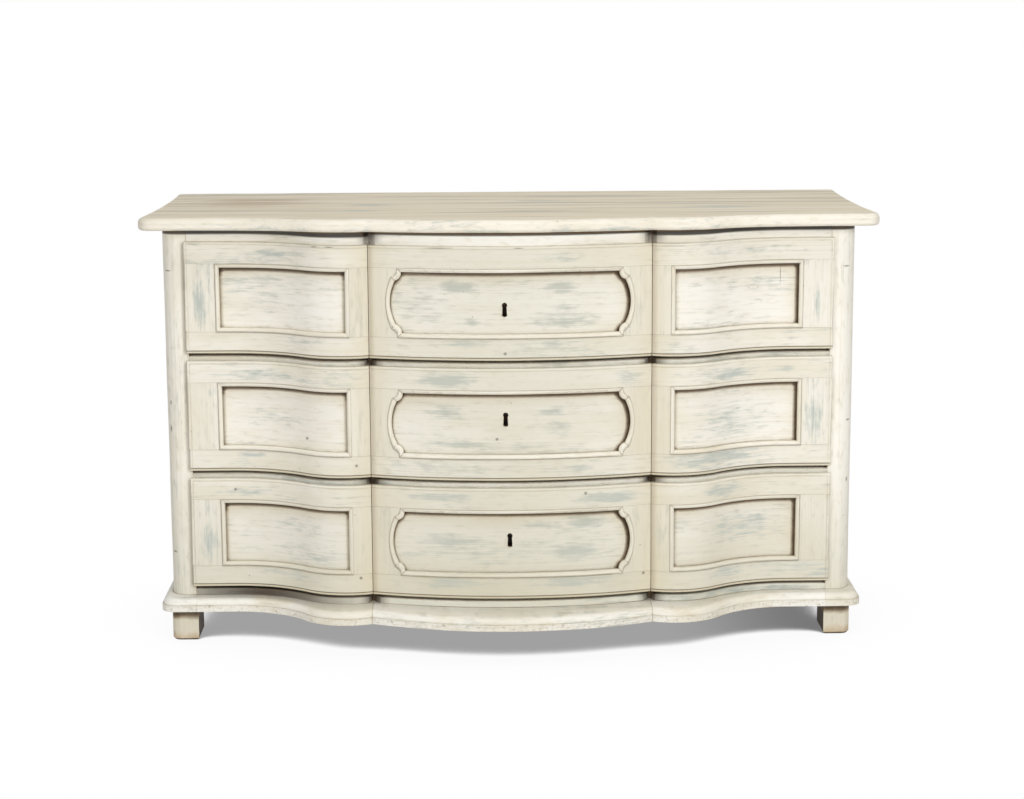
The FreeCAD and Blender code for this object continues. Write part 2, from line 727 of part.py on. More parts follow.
def make_base():
    """Centre, wings, corners and sides, each a square fillet with an ovolo stepped back above it."""
    back, end, step = "places.base_back_y", "places.base_end_y", "sizes.base_fillet_step"
    hump = ("places.base_hump_radius", RIGHT)
    hollow = ("places.base_hollow_radius", LEFT)
    joint, outer, rounded = "places.base_joint_x", "places.base_half", "sizes.base_corner_round"

    def centre(shift):
        curve, bends = front_curve("base", plus(end, shift))
        crease = curve[2:4]
        return [(crease[0][0], back)] + crease + [(crease[1][0], back)], {1: bends[2]}

    def wing(shift):
        curve, _ = front_curve("base", plus(end, shift))
        corners = [(curve[3][0], back)] + curve[3:] + [(joint, plus(end, shift)), (joint, back)]
        return corners, {1: hump, 2: hollow}

    def corner(shift):
        front, side, turn = plus(end, shift), less(outer, shift), less(rounded, shift)
        corners = [(joint, back), (joint, front), (less(side, turn), front)]
        corners += [(side, plus(front, turn)), (side, back)]
        return corners, {2: (turn, RIGHT)}

    def side(shift):
        inner, edge, rear = "places.base_side_x", less(outer, shift), "places.case_back_y"
        return [(inner, back), (edge, back), (edge, rear), (inner, rear)], {}

    for name, outline in (("centre", centre), ("wing", wing), ("corner", corner), ("side", side)):
        body = doc.addObject("PartDesign::Body", "base_" + name)
        bind(body, z="sizes.foot_height")
        corners, bends = outline("0")
        add_pad(body, "base_%s_fillet" % name, corners, bends, "sizes.base_fillet_height")
        corners, bends = outline(step)
        rise = less("sizes.base_height", "sizes.base_fillet_height")
        add_pad(body, "base_%s_ovolo" % name, corners, bends, rise, lift="sizes.base_fillet_height")
        doc.recompute()
        edges = moulded_edges(body.Tip.Shape)
        dress(body, "Fillet", "base_%s_round" % name, edges, Radius="sizes.base_ovolo_round")
        if name == "centre":
            keep(body, "base_centre")
        else:
            keep(body, "base_right_" + name)
            keep(mirrored("base_%s_twin" % name, body), "base_left_" + name)


def make_feet():
    """Block feet under the corners, the outer corner rounded and the sole's edges chamfered."""
    outer, rounded = "places.foot_outer_x", "sizes.foot_round"
    inner = less(outer, "sizes.foot_width")
    rows = {
        "front": ("places.foot_front_y", plus("places.foot_front_y", "sizes.foot_depth"), plus),
        "rear": ("places.foot_back_y", less("places.foot_back_y", "sizes.foot_depth"), less),
    }
    for row, (outside, inside, inwards) in rows.items():
        corners = [(inner, outside), (less(outer, rounded), outside), (outer, inwards(outside, rounded))]
        corners += [(outer, inside), (inner, inside)]
        turn = RIGHT if row == "front" else LEFT
        foot = plate(row + "_foot", corners, {1: (rounded, turn)}, "sizes.foot_height", "0")
        doc.recompute()
        sole = edges_where(foot.Tip.Shape, lambda point: abs(point.z) < TOLERANCE)
        dress(foot, "Chamfer", row + "_foot_chamfer", sole, Size="sizes.foot_chamfer")
        keep(foot, "right_%s_foot" % row)
        keep(mirrored(row + "_foot_twin", foot), "left_%s_foot" % row)


# Drawer fronts, drawn once at the level of the drawer's lower edge


def make_frame_members():
    """Rails and stiles laid on the front: four for each wing and four for the centre."""
    height, half = "places.drawer_height", "places.drawer_half"
    face, back = "places.face_end_y", "places.lip_back_y"
    band = plate("frame_band", *shaped_band("drawer", face, back, half), height, "0")
    inset, width, depth = "sizes.quirk_inset", "sizes.quirk_width", "sizes.quirk_depth"
    ahead, behind = less(face, depth), plus(face, depth)
    strip = shaped_band("drawer", ahead, behind, less(half, inset))
    low_quirk = plate("low_quirk", *strip, width, inset)
    high_quirk = plate("high_quirk", *strip, width, less(height, plus(inset, width)))
    end_x = (less(half, plus(inset, width)), less(half, inset))
    ends = both_sides("end_quirk", end_x, (ahead, behind), (inset, less(height, inset)))
    quirked = boolean("Cut", "quirked_band", band, group("quirks", [low_quirk, high_quirk] + ends))
    wing, wing_bends = wing_window("0")
    centre, centre_bends = centre_window("0")
    wing_hole = prism("wing_hole", wing, wing_bends)
    holes = group("window_holes", [wing_hole, mirrored("wing_hole_twin", wing_hole)])
    centre_hole = prism("centre_hole", centre, centre_bends)
    framed = boolean("Cut", "wing_framed_band", quirked, holes)
    framed = boolean("Cut", "framed_band", framed, centre_hole)
    low, high = "places.window_low", "places.window_high"
    crease_out = "places.crease_x + sizes.crease_joint / 2"
    crease_in = "places.crease_x - sizes.crease_joint / 2"
    wing_middle = "(places.wing_window_in + places.wing_window_out) / 2"
    wing_x = (crease_out, REACH)
    centre_x = (minus(crease_in), crease_in)
    upper, lower, between = (high, REACH), (minus(REACH), low), (low, high)

    def member(name, across, rise):
        return boolean("Common", name, framed, box(name + "_block", across, ACROSS, rise))

    handed = [
        member("wing_top_rail", wing_x, upper),
        member("wing_bottom_rail", wing_x, lower),
        member("wing_outer_stile", (wing_middle, REACH), between),
        member("wing_inner_stile", (crease_out, wing_middle), between),
        member("centre_stile", ("0", crease_in), between),
    ]
    twins = [mirrored(piece.Name + "_twin", piece) for piece in handed]
    middle = [member("centre_top_rail", centre_x, upper), member("centre_bottom_rail", centre_x, lower)]
    return handed + twins + middle


def wing_window(inset):
    """The square window of a wing, seen from the front, drawn in by an inset."""
    left, right = plus("places.wing_window_in", inset), less("places.wing_window_out", inset)
    low, high = plus("places.window_low", inset), less("places.window_high", inset)
    return [(left, low), (right, low), (right, high), (left, high)], {}


def centre_window(inset):
    """The centre's cartouche: straight above and below, bowed ends, and an ear let in at each corner."""
    tip = less("places.centre_window_half", plus(inset, "sizes.end_bulge"))
    straight = less(tip, "sizes.ear_width")
    low, high = plus("places.window_low", inset), less("places.window_high", inset)
    ear_low, ear_high = plus(low, "sizes.ear_height"), less(high, "sizes.ear_height")
    right = [(straight, low), (tip, ear_low), (tip, ear_high), (straight, high)]
    left = [(minus(across), up) for across, up in reversed(right)]
    half_chord = "((%s) / 2)" % less(ear_high, ear_low)
    bulge = "sizes.end_bulge"
    end_radius = "({0} * {0} + {1} * {1}) / (2 * {1})".format(half_chord, bulge)
    ear = ("sizes.ear_round", LEFT)
    end = (end_radius, RIGHT)
    return right + left, {0: ear, 1: end, 2: ear, 4: ear, 5: end, 6: ear}


def moulding_lengths(name, window, band, numbers):
    """Mitred lengths along numbered edges of a window, each rounded along its inner edge."""
    outer, outer_bends = window("0")
    inner, inner_bends = window("sizes.moulding_width")
    lengths = []
    for number in numbers:
        following = (number + 1) % len(outer)
        corners = [outer[number], outer[following], inner[following], inner[number]]
        bends = {}
        start, end = seen_point(inner[number]), seen_point(inner[following])
        inner_line = Part.LineSegment(start, end)
        if number in outer_bends:
            radius, side = inner_bends[number]
            bends = {0: outer_bends[number], 2: (radius, LEFT if side == RIGHT else RIGHT)}
            inner_line = arc_through(start, end, size(radius), side)
        sector = prism("%s_sector_%d" % (name, number), corners, bends)
        piece = boolean("Common", "%s_length_%d" % (name, number), band, sector)
        lengths.append(rounded_length(piece, inner_line.toShape()))
    return lengths


def seen_point(corner):
    """A corner seen from the front, as a point of a flat drawing."""
    return FreeCAD.Vector(size(corner[0]), size(corner[1]), 0)


def rounded_length(piece, inner_line):
    """Round the edge of a moulding where its face meets its inner side."""
    doc.recompute()
    face = less("places.face_end_y", "sizes.moulding_proud")

    def inner_front(point):
        seen = Part.Vertex(point.x, point.z, 0)
        ahead = abs(point.y - front_at("drawer", face, point.x)) < TOLERANCE
        return ahead and inner_line.distToShape(seen)[0] < TOLERANCE

    radius = size("sizes.moulding_round")
    fillet = doc.addObject("Part::Fillet", piece.Name + "_round")
    fillet.Base = piece
    fillet.Edges = [(int(name[4:]), radius, radius) for name in edges_where(piece.Shape, inner_front)]
    return fillet


def make_mouldings():
    """Mouldings of both wings and of the centre."""
    face = less("places.face_end_y", "sizes.moulding_proud")
    strip = shaped_band("drawer", face, "places.lip_back_y", "places.drawer_half")
    band = plate("moulding_band", *strip, "places.drawer_height", "0")
    wing_edges, right_end_edges, long_edges = (0, 1, 2, 3), (0, 1, 2), (3, 7)
    handed = moulding_lengths("wing_moulding", wing_window, band, wing_edges)
    handed += moulding_lengths("centre_end_moulding", centre_window, band, right_end_edges)
    twins = [mirrored(piece.Name + "_twin", piece) for piece in handed]
    return handed + twins + moulding_lengths("centre_moulding", centre_window, band, long_edges)


def keyhole(drawer):
    """A round hole over a slot that widens to a rounded foot, from front to back."""
    neck, foot, radius = "sizes.keyhole_neck_width / 2", "sizes.keyhole_foot_width / 2", "sizes.keyhole_round"
    low = minus("sizes.keyhole_slot_length")
    meet = "-sqrt({0} * {0} - ({1}) * ({1}))".format(radius, neck)
    corners = [(minus(foot), low), (foot, low), (neck, meet), ("0", radius), (minus(neck), meet)]
    bends = {0: ("sizes.keyhole_foot_round", RIGHT), 2: (radius, RIGHT), 3: (radius, RIGHT)}
    hole = prism(drawer + "_keyhole", corners, bends)
    return bind(hole, x="sizes.keyhole_shift_" + drawer, z="sizes.keyhole_rise_" + drawer)


def make_lock(drawer, level):
    """A lock case let into the back of the front, its key pin, and the bolt that rises from it."""
    shift = "sizes.keyhole_shift_" + drawer
    seat = "places.lock_seat_y"
    half = "sizes.lock_width / 2"
    across = (less(shift, half), plus(shift, half))
    rise = (plus(level, "places.lock_low_" + drawer), plus(level, "places.board_high"))
    case = box(drawer + "_lock_block", across, (seat, plus(seat, "sizes.lock_depth")), rise)
    bolt_half = "sizes.bolt_width / 2"
    room = "sizes.bolt_clearance"
    bolt_x = (less(shift, bolt_half), plus(shift, bolt_half))
    bolt_y = (plus(seat, "sizes.bolt_inset"), plus(seat, "sizes.bolt_inset", "sizes.bolt_thickness"))
    bolt_z = (plus(level, "places.bolt_low"), plus(level, "places.bolt_high"))
    channel = box(
        drawer + "_bolt_channel",
        (less(bolt_x[0], room), plus(bolt_x[1], room)),
        (less(bolt_y[0], room), plus(bolt_y[1], room)),
        (less(bolt_z[0], room), REACH),
    )
    hollow = boolean("Cut", drawer + "_lock_shell", case, channel)
    reach = "sizes.board_thickness - sizes.lock_seat_depth - sizes.key_pin_back"
    pin_size = ("sizes.key_pin_radius", reach)
    pin_z = plus(level, "sizes.keyhole_rise_" + drawer)
    pin = rod(drawer + "_key_pin", pin_size, FORWARDS, shift, seat, pin_z)
    keep(boolean("Fuse", drawer + "_lock_fuse", hollow, pin), drawer + "_drawer_lock")
    keep(box(drawer + "_bolt", bolt_x, bolt_y, bolt_z), drawer + "_drawer_bolt")


def make_drawer_box(drawer, level):
    """Sides, back and bottom behind the front."""
    inner, outer = "places.box_inner_x", "places.box_half"
    back_y = "places.drawer_back_y"
    rise = (plus(level, "places.box_low"), plus(level, "places.box_high"))
    side = box(drawer + "_side", (inner, outer), ("places.board_back_y", back_y), rise)
    keep(side, drawer + "_drawer_right_side")
    keep(mirrored(drawer + "_side_twin", side), drawer + "_drawer_left_side")
    back_front = less(back_y, "sizes.drawer_back_thickness")
    back_rise = (rise[0], less(rise[1], "sizes.drawer_back_drop"))
    back = box(drawer + "_back", (minus(inner), inner), (back_front, back_y), back_rise)
    keep(back, drawer + "_drawer_back")
    front = plus("places.board_back_y", "sizes.drawer_bottom_clearance")
    corners, bends = shaped_outline("drawer", front, inner, back_front)
    floor = plus(level, "places.box_floor")
    bottom = plate(drawer + "_bottom", corners, bends, "sizes.drawer_bottom_thickness", floor)
    keep(bottom, drawer + "_drawer_bottom")


def make_drawers():
    """Three drawers with one design of front."""
    strip = shaped_band("drawer", "places.lip_back_y", "places.board_back_y", "places.box_half")
    board_height = less("places.board_high", "places.board_low")
    board = plate("front_board", *strip, board_height, "places.board_low")
    frames = make_frame_members()
    mouldings = make_mouldings()
    for drawer in DRAWERS:
        level = "places.level_" + drawer
        shift = "sizes.keyhole_shift_" + drawer
        half = "sizes.lock_width / 2"
        lock_x = (less(shift, half), plus(shift, half))
        lock_z = ("places.lock_low_" + drawer, REACH)
        seat = box(drawer + "_lock_seat", lock_x, ("places.lock_seat_y", REACH), lock_z)
        bored = boolean("Cut", drawer + "_bored_front", board, keyhole(drawer))
        front = boolean("Cut", drawer + "_front", bored, seat)
        keep(bind(front, z=level), drawer + "_drawer_front")
        keep(bind(group(drawer + "_frames", frames), z=level), drawer + "_drawer_frames")
        keep(bind(group(drawer + "_mouldings", mouldings), z=level), drawer + "_drawer_mouldings")
        make_drawer_box(drawer, level)
        make_lock(drawer, level)


def check_and_write():
    """Refuse a failed feature or a bad shape, then write one file for each sub-part."""
    doc.recompute()
    failed = [thing.Name for thing in doc.Objects if "Invalid" in thing.State or "Error" in thing.State]
    bad = [piece.Label for piece in pieces if piece.Shape.isNull() or not piece.Shape.isValid()]
    if failed or bad:
        raise RuntimeError("failed features: %s; bad shapes: %s" % (failed, bad))
    os.makedirs("parts", exist_ok=True)
    for piece in pieces:
        piece.Shape.exportStep("parts/%s.step" % piece.Label)
        print("%s: %d solids, %.1f cm3" % (piece.Label, len(piece.Shape.Solids), piece.Shape.Volume / 1000))
    print("%d sub-parts" % len(pieces))


make_top()
make_posts()
make_sides()
make_back()
make_rails()
make_inside()
make_base()
make_feet()
make_drawers()
check_and_write()
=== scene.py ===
"""The commode's looks: worn edges on every board, old cream paint, bare pine inside, dull iron."""
import json
import math
import random

import bmesh
import bpy
import numpy as np
from mathutils import Matrix, Vector, noise

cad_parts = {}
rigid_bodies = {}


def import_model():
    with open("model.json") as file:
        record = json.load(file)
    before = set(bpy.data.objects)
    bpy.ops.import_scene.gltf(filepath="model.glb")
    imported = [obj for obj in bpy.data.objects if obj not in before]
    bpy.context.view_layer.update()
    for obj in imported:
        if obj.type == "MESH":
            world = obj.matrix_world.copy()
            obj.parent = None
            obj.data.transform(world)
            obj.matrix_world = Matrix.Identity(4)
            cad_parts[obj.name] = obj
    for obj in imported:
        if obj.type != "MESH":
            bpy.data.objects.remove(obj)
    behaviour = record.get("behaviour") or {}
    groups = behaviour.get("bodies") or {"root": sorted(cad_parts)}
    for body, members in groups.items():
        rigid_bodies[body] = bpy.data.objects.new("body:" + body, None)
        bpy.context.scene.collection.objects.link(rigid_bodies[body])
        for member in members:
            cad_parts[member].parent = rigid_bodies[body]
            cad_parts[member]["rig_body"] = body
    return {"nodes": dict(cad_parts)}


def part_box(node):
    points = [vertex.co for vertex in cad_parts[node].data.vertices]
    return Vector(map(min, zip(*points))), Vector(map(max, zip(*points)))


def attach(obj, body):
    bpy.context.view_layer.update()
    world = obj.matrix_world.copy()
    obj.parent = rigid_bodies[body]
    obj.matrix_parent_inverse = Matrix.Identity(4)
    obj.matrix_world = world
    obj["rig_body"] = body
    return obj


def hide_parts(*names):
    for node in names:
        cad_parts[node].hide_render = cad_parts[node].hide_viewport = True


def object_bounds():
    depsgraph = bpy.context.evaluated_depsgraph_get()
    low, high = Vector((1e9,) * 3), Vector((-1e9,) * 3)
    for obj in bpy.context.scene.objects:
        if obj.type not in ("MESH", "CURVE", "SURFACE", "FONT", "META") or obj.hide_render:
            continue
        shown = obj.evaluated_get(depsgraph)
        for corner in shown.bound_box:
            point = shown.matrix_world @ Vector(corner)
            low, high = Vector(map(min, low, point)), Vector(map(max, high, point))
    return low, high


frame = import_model()
cad_box = [list(corner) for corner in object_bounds()]

MILLIMETRE = 0.001

# Camera, read from the photo's perspective
CAMERA_PLACE = Vector((-0.061, -4.712, 1.329))
CAMERA_PITCH = math.radians(10.40)
CAMERA_YAW = math.radians(0.804)
CAMERA_ROLL = math.radians(-0.327)
FOCAL_PIXELS = 2337
PICTURE_WIDTH = 1024
SENSOR_WIDTH = 36.0

# Light: a key from the front right, a softer fill from the front left, a wide lamp above, an even surround
LAMPS = {
    "key": {"azimuth": 28, "elevation": 21, "distance": 4.2, "width": 0.8, "share": 0.325},
    "fill": {"azimuth": -26, "elevation": 6, "distance": 5.0, "width": 1.6, "share": 0.21},
    "above": {"azimuth": 8, "elevation": 68, "distance": 4.0, "width": 1.6, "share": 0.222},
}
LAMP_TARGET = Vector((0.0, -0.15, 0.45))
SURROUND_STRENGTH = 0.36
SEEN_RAYS = ("Is Camera Ray", "Is Glossy Ray", "Is Transmission Ray")

# Floor: where it fades out, and its shadow. The shadow starts where the chest closes in a first share of
# the floor's view and is full at a second share. It leaves less light to the right, over the turn.
FLOOR_REACH = 3.2
FLOOR_SIDES = 96
FLOOR_FADE = (0.45 * FLOOR_REACH, 0.98 * FLOOR_REACH)
SHADOW_REACH = 0.4
SHADOW_RAYS = 64
SHADOW_CLOSED = (0.77, 0.88)
SHADOW_TURN = (0.3, 0.62)
SHADOW_LIGHT = 0.37
RIGHT_SHADOW_LIGHT = 0.2
OUTER_SHADOW_RAYS = 16
OUTER_SHADOW_CLOSED = (0.1, 0.6)
OUTER_SHADOW_LIGHT = 0.96

# Finish of the boards, in metres
SAME_POINT = 1e-6
FLAT_ANGLE = math.radians(0.4)
EDGE_ANGLE = math.radians(35)
SMOOTH_ANGLE = math.radians(38)
CUT_STEP = 0.03
WAVE_HEIGHTS = {"cream_paint": 0.0006, "bare_pine": 0.0001, "old_iron": 0.0}
WAVE_LENGTH = 0.14
WAVE_SEED = 7
EDGE_STEPS = 2

# Grain: how far a board's pattern may be shifted, how much of it changes along a shaped board's depth,
# and the axes along the grain, across it and in the depth
GRAIN_SHIFT = 20
DEPTH_SHARE = 0.12
AXES = {"X": (0, 2, 1), "Y": (1, 2, 0), "Z": (2, 0, 1)}

# Widths of worn edges, in millimetres
EDGE_WEAR = {
    "top": 0.8, "post": 1.2, "side": 1.2, "side_rails": 1.0, "foot": 1.5, "base": 0.9,
    "top_rail": 1.0, "rail": 0.3, "front": 0.6, "pine": 0.8, "nails": 0.4, "lock": 0.5,
}

# Edges of a drawer's frames, in metres
LIP_ROUND = 2.6 * MILLIMETRE
QUIRK_BAND = 6.5 * MILLIMETRE
QUIRK_WEAR = 0.3 * MILLIMETRE
JOINT_WEAR = 0.4 * MILLIMETRE
FRAME_WEAR = 0.15 * MILLIMETRE
FRAME_WIDTHS = (LIP_ROUND, QUIRK_WEAR, JOINT_WEAR, FRAME_WEAR)
NEAR = 0.05 * MILLIMETRE
FRAME_RAIL = 43 * MILLIMETRE
CREASE_X = 276 * MILLIMETRE
FRONT_FACING = -0.3

# Names of pieces
DRAWERS = ("top", "middle", "bottom")
RAILS = ("top_rail", "upper_rail", "lower_rail", "bottom_rail")
PINE_PIECES = (
    "back_rails", "back_boards", "drawer_runners", "drawer_guides", "drawer_stops", "drawer_kickers",
    "bottom_board", "glue_blocks",
)

# Places on a drawer's front where a cooler coat shows: right of the middle, above its lower edge,
# half the width, half the height, in millimetres, and how much of it shows
WORN_PLACES = {
    "top": (
        (-100, 142, 40, 13, 1.0), (95, 142, 34, 15, 0.8), (105, 100, 30, 12, 0.5), (100, 76, 70, 18, 0.6),
        (-75, 74, 18, 9, 0.7), (-155, 82, 35, 13, 0.4), (105, 200, 55, 10, 0.5), (-90, 34, 55, 9, 0.7),
        (80, 32, 28, 12, 0.7), (250, 94, 10, 40, 0.5), (-465, 200, 60, 8, 0.6), (-610, 104, 16, 48, 0.7),
        (-480, 110, 60, 30, 0.3), (440, 130, 60, 40, 0.2), (460, 200, 95, 10, 0.4), (610, 98, 8, 42, 0.5),
    ),
    "middle": (
        (-125, 198, 60, 14, 1.0), (230, 198, 32, 14, 0.6), (-130, 134, 40, 17, 0.7), (80, 136, 30, 14, 0.7),
        (90, 100, 30, 18, 0.5), (-95, 70, 65, 10, 0.7), (-165, 28, 30, 11, 0.5), (130, 24, 36, 11, 0.6),
        (-495, 196, 90, 12, 0.5), (-470, 110, 70, 25, 0.3), (-515, 34, 34, 8, 0.6), (435, 196, 60, 16, 0.6),
        (545, 198, 40, 8, 0.5), (440, 100, 90, 40, 0.4), (400, 30, 120, 16, 0.7), (605, 98, 22, 50, 0.6),
    ),
    "bottom": (
        (-140, 204, 70, 9, 0.8), (195, 198, 75, 13, 0.8), (-120, 114, 65, 15, 0.7), (60, 146, 60, 9, 0.6),
        (140, 150, 45, 20, 0.8), (120, 90, 60, 20, 0.8), (-120, 32, 60, 13, 0.7), (120, 34, 75, 15, 0.8),
        (-605, 90, 16, 40, 0.6), (-525, 196, 70, 9, 0.5), (-430, 132, 60, 20, 0.3), (-440, 32, 70, 13, 0.4),
        (425, 200, 45, 16, 0.6), (465, 120, 90, 36, 0.45), (430, 34, 40, 16, 0.6), (295, 116, 16, 44, 0.5),
    ),
}

# Nail holes, cracks and knots: place, then half the width and half the height, in millimetres
DRAWER_MARKS = {
    "top": (
        (-11, 14, 3, 3), (536, 150, 0.8, 20), (-380, 219, 6, 1), (-350, 219, 8, 1), (-140, 219, 26, 1),
        (15, 219, 10, 1),
    ),
    "middle": ((-28, 81, 3, 3), (-402, 74, 3, 3), (-304, 25, 3, 3)),
    "bottom": ((261, 40, 3, 3), (-299, 35, 3, 3), (145, 209, 3, 3), (-551, 200, 3, 3)),
}
POST_MARKS = (
    (-675, 750, 6, 1.5), (-677, 485, 1.5, 5), (-678, 432, 2, 7), (-678, 179, 4, 2),
    (668, 750, 6, 1.5), (677, 439, 4, 2), (677, 317, 2, 5),
)

# A stain and cool smears on the top: place, then half the width and half the depth, in millimetres
TOP_STAIN = (-530, 130, 160, 100)
TOP_SMEARS = ((-278, 55, 60, 26), (-300, -60, 50, 16), (60, 120, 80, 20), (420, -20, 90, 22))

# Grime and painted shade in the corners: they darken where closed in from above and a little from the
# right, but in the left panels only from above. The left panels get less of them below their upper edge.
GRIME_AND_SHADE_LEAN = (0.4, 0.0, 0.9)
LEFT_PANEL_LEAN = -0.05
PANEL_LEAN = 0.7
HALO_REACH = 0.035
LEFT_LIGHTER_BELOW = 0.064
LEFT_LIGHTER_FADE = 0.008
LEFT_LIGHTER_SHARE = 0.6
# Near a drawer's upper and outer rims there is less of the grime and painted shade
RIM_FADE = (0.012, 0.008)
RIM_GRIME_AND_SHADE = 0.3
DEEP_SPAN = (0.5, 1.6)
CORNER_RAYS = 8
FEW_RAYS = 4

# Painted shadow: under the top, at the upper ends of the creases, in the gap under the left wing; in metres
TOP_SHADOW_LEVEL = 0.8245
TOP_SHADOW_FADE = 0.004
CENTRE_SHADOW_LIFT = 0.005
CREASE_SHADOW_SHIFT = 0.003
CREASE_SHADOW_HALF = (0.022, 0, 0.026)
LEFT_GAP_SHADOW = (-0.5, 0.0, 0.098)
RAIL_GAP_SHADOW_HALF = (0.17, 0, 0.03)
BASE_GAP_SHADOW_HALF = (0.15, 0, 0.008)

# Other places, in metres; a drawer's bead and quirk are counted from its lower edge
EDGE_REACH = 0.003
LOW_HEIGHTS = (0.42, 0.05)
CENTRE_HALF = (0.3, 0, 0)
BEAD_FADE = (0.006, 0.004)
QUIRK_LEVEL = 0.0053
QUIRK_HALF = (0, 0, 0.0012)
SEAM_HALF = (0, 0.0012, 0)
SEAM_FADE = (-0.3, 0.2)
LOWER_NOSE = (0.85, 0.838)
LOWER_BAND = (0.079, 0.076)
LEDGE_REACH = 0.06
FOOT_WEAR = (0.036, 0.018)
FOOT_WEAR_SHIFT = 0.03
PINE_SHADE_REACH = 0.03

# A spot ends at this many times its half width and half height
SPOT_RIM = 1.6

# Small specks: cells to the metre, and how large a speck is in its cell
SPECK_CELLS = 55.0
SPECK_EDGE = (0.07, 0.04)

# The brush's marks, which break up the cool patches: their strength and their middle value
BRUSH_STRENGTH = 1.3
BRUSH_MIDDLE = 1.8
COOL_STRENGTH = 1.3

# How much of the ground shows at a scuffed edge, and how the top's streaks fray its stain and smears
SCUFF_SHARE = 0.6
FRAY_MIDDLE = 0.5
FRAY_STRENGTH = 3.0

# Noise patterns: waves to the metre along the grain, across it and in the depth, or along X, Y and Z
PLAIN_NOISE = {"Scale": 1.0, "Detail": 3.0, "Roughness": 0.55, "Distortion": 0.0}
PATTERNS = {
    "streak": ((4.0, 190.0, 190.0), {"Detail": 4.0, "Roughness": 0.6}),
    "fibre": ((16.0, 560.0, 560.0), {"Detail": 2.0}),
    "cloud": ((3.5, 9.0, 9.0), {"Detail": 4.0}),
    "patch": ((4.0, 15.0, 15.0), {"Detail": 4.0, "Distortion": 0.4}),
    "mottle": ((40.0, 120.0, 120.0), {}),
    "scuff": ((18.0, 40.0, 40.0), {}),
    "amount": ((9.0, 60.0, 60.0), {}),
    "top_streak": ((1.8, 40.0, 40.0), {"Detail": 6.0, "Roughness": 0.7}),
    "nose_smear": ((14.0, 60.0, 60.0), {"Detail": 4.0, "Roughness": 0.7}),
    "base_stain": ((9.0, 9.0, 25.0), {"Detail": 4.0}),
    "base_dirt": ((150.0, 150.0, 150.0), {"Detail": 4.0, "Roughness": 0.7}),
    "foot_wear": ((40.0, 40.0, 40.0), {}),
    "pine_rings": ((1.1, 60.0, 60.0), {"Detail": 4.0, "Distortion": 0.35}),
    "pine_fibre": ((10.0, 420.0, 420.0), {}),
    "pine_cloud": ((2.0, 7.0, 7.0), {}),
    "rust": ((70.0, 70.0, 70.0), {"Detail": 4.0}),
    "iron_pits": ((600.0, 600.0, 600.0), {}),
    "floor": ((1.5, 1.5, 1.5), {}),
}


# Boards: a node's solids, parted, with worn edges and hand-planed faces


def node_solids(node):
    """The closed solids of a node: shared corner points, and the faces of each solid."""
    mesh = frame["nodes"][node].data
    places = np.zeros(len(mesh.vertices) * 3, np.float32)
    mesh.vertices.foreach_get("co", places)
    places = places.reshape(-1, 3)
    grid = np.round(places / SAME_POINT).astype(np.int64)
    _, first, same = np.unique(grid, axis=0, return_index=True, return_inverse=True)
    points = [Vector(place) for place in places[first].tolist()]
    same = same.reshape(-1).tolist()
    solids, faces, open_edges = [], [], set()
    for polygon in mesh.polygons:
        face = [same[corner] for corner in polygon.vertices]
        faces.append(face)
        for start, end in zip(face, face[1:] + face[:1]):
            if (end, start) in open_edges:
                open_edges.remove((end, start))
            else:
                open_edges.add((start, end))
        if not open_edges:
            solids.append(faces)
            faces = []
    return points, solids


def solid_mesh(points, faces):
    """One solid with its flat faces made whole."""
    board = bmesh.new()
    corners = {}
    for face in faces:
        for corner in face:
            if corner not in corners:
                corners[corner] = board.verts.new(points[corner])
        board.faces.new([corners[corner] for corner in face])
    bmesh.ops.dissolve_limit(
        board, angle_limit=FLAT_ANGLE, verts=board.verts[:], edges=board.edges[:]
    )
    return board


def extent(board):
    """Lowest and highest corner of a board."""
    places = [vertex.co for vertex in board.verts]
    low = Vector([min(place[axis] for place in places) for axis in range(3)])
    high = Vector([max(place[axis] for place in places) for axis in range(3)])
    return low, high


def cut_across(board, axis, low, high):
    """Loops across a board, so that its long edges can wander."""
    normal = Vector([1.0 if number == axis else 0.0 for number in range(3)])
    count = int((high[axis] - low[axis]) / CUT_STEP)
    for step in range(1, count):
        place = low.lerp(high, step / count)
        geometry = board.verts[:] + board.edges[:] + board.faces[:]
        bmesh.ops.bisect_plane(board, geom=geometry, plane_co=place, plane_no=normal, dist=SAME_POINT)


def wear_edges(board, widths, own_width=None):
    """Round the edges, the widest first; where there are several widths, own_width picks an edge's own."""
    for offset in sorted(widths, reverse=True):
        chosen = []
        for edge in board.edges:
            sharp = len(edge.link_faces) == 2 and edge.calc_face_angle(0) > EDGE_ANGLE
            if sharp and (own_width is None or own_width(edge) == offset):
                chosen.append(edge)
        bmesh.ops.bevel(
            board, geom=chosen, offset=offset, offset_type="OFFSET", segments=EDGE_STEPS,
            profile=0.5, affect="EDGES", loop_slide=False, clamp_overlap=len(widths) == 1,
        )
    bmesh.ops.dissolve_degenerate(board, dist=SAME_POINT, edges=board.edges[:])


def wander(place, height):
    """Where a point of the old chest has moved to from the drawing, without leaving the drawing's box."""
    moved = place + noise.noise_vector(place / WAVE_LENGTH) * height
    return Vector([min(max(value, low), high) for value, low, high in zip(moved, *cad_box)])


def finish_board(board, whole, height, grain, depth, chance):
    """Let a board wander by a height, note its grain and tone, and add it to the node's mesh."""
    places = whole.verts.layers.float_vector["grain_place"]
    tones = whole.verts.layers.float["tone"]
    shares = Vector([DEPTH_SHARE if "XYZ"[number] == depth else 1.0 for number in AXES[grain]])
    start = Vector([chance.uniform(0, GRAIN_SHIFT) for _ in range(3)])
    tone = chance.uniform(-1, 1)
    copies = {}
    for vertex in board.verts:
        copy = whole.verts.new(wander(vertex.co, height))
        copy[places] = start + Vector([vertex.co[number] for number in AXES[grain]]) * shares
        copy[tones] = tone
        copies[vertex] = copy
    board.verts.index_update()
    corners = {face: [vertex.index for vertex in face.verts] for face in board.faces}
    for face in sorted(board.faces, key=corners.get):
        whole.faces.new([copies[vertex] for vertex in face.verts])
    board.free()


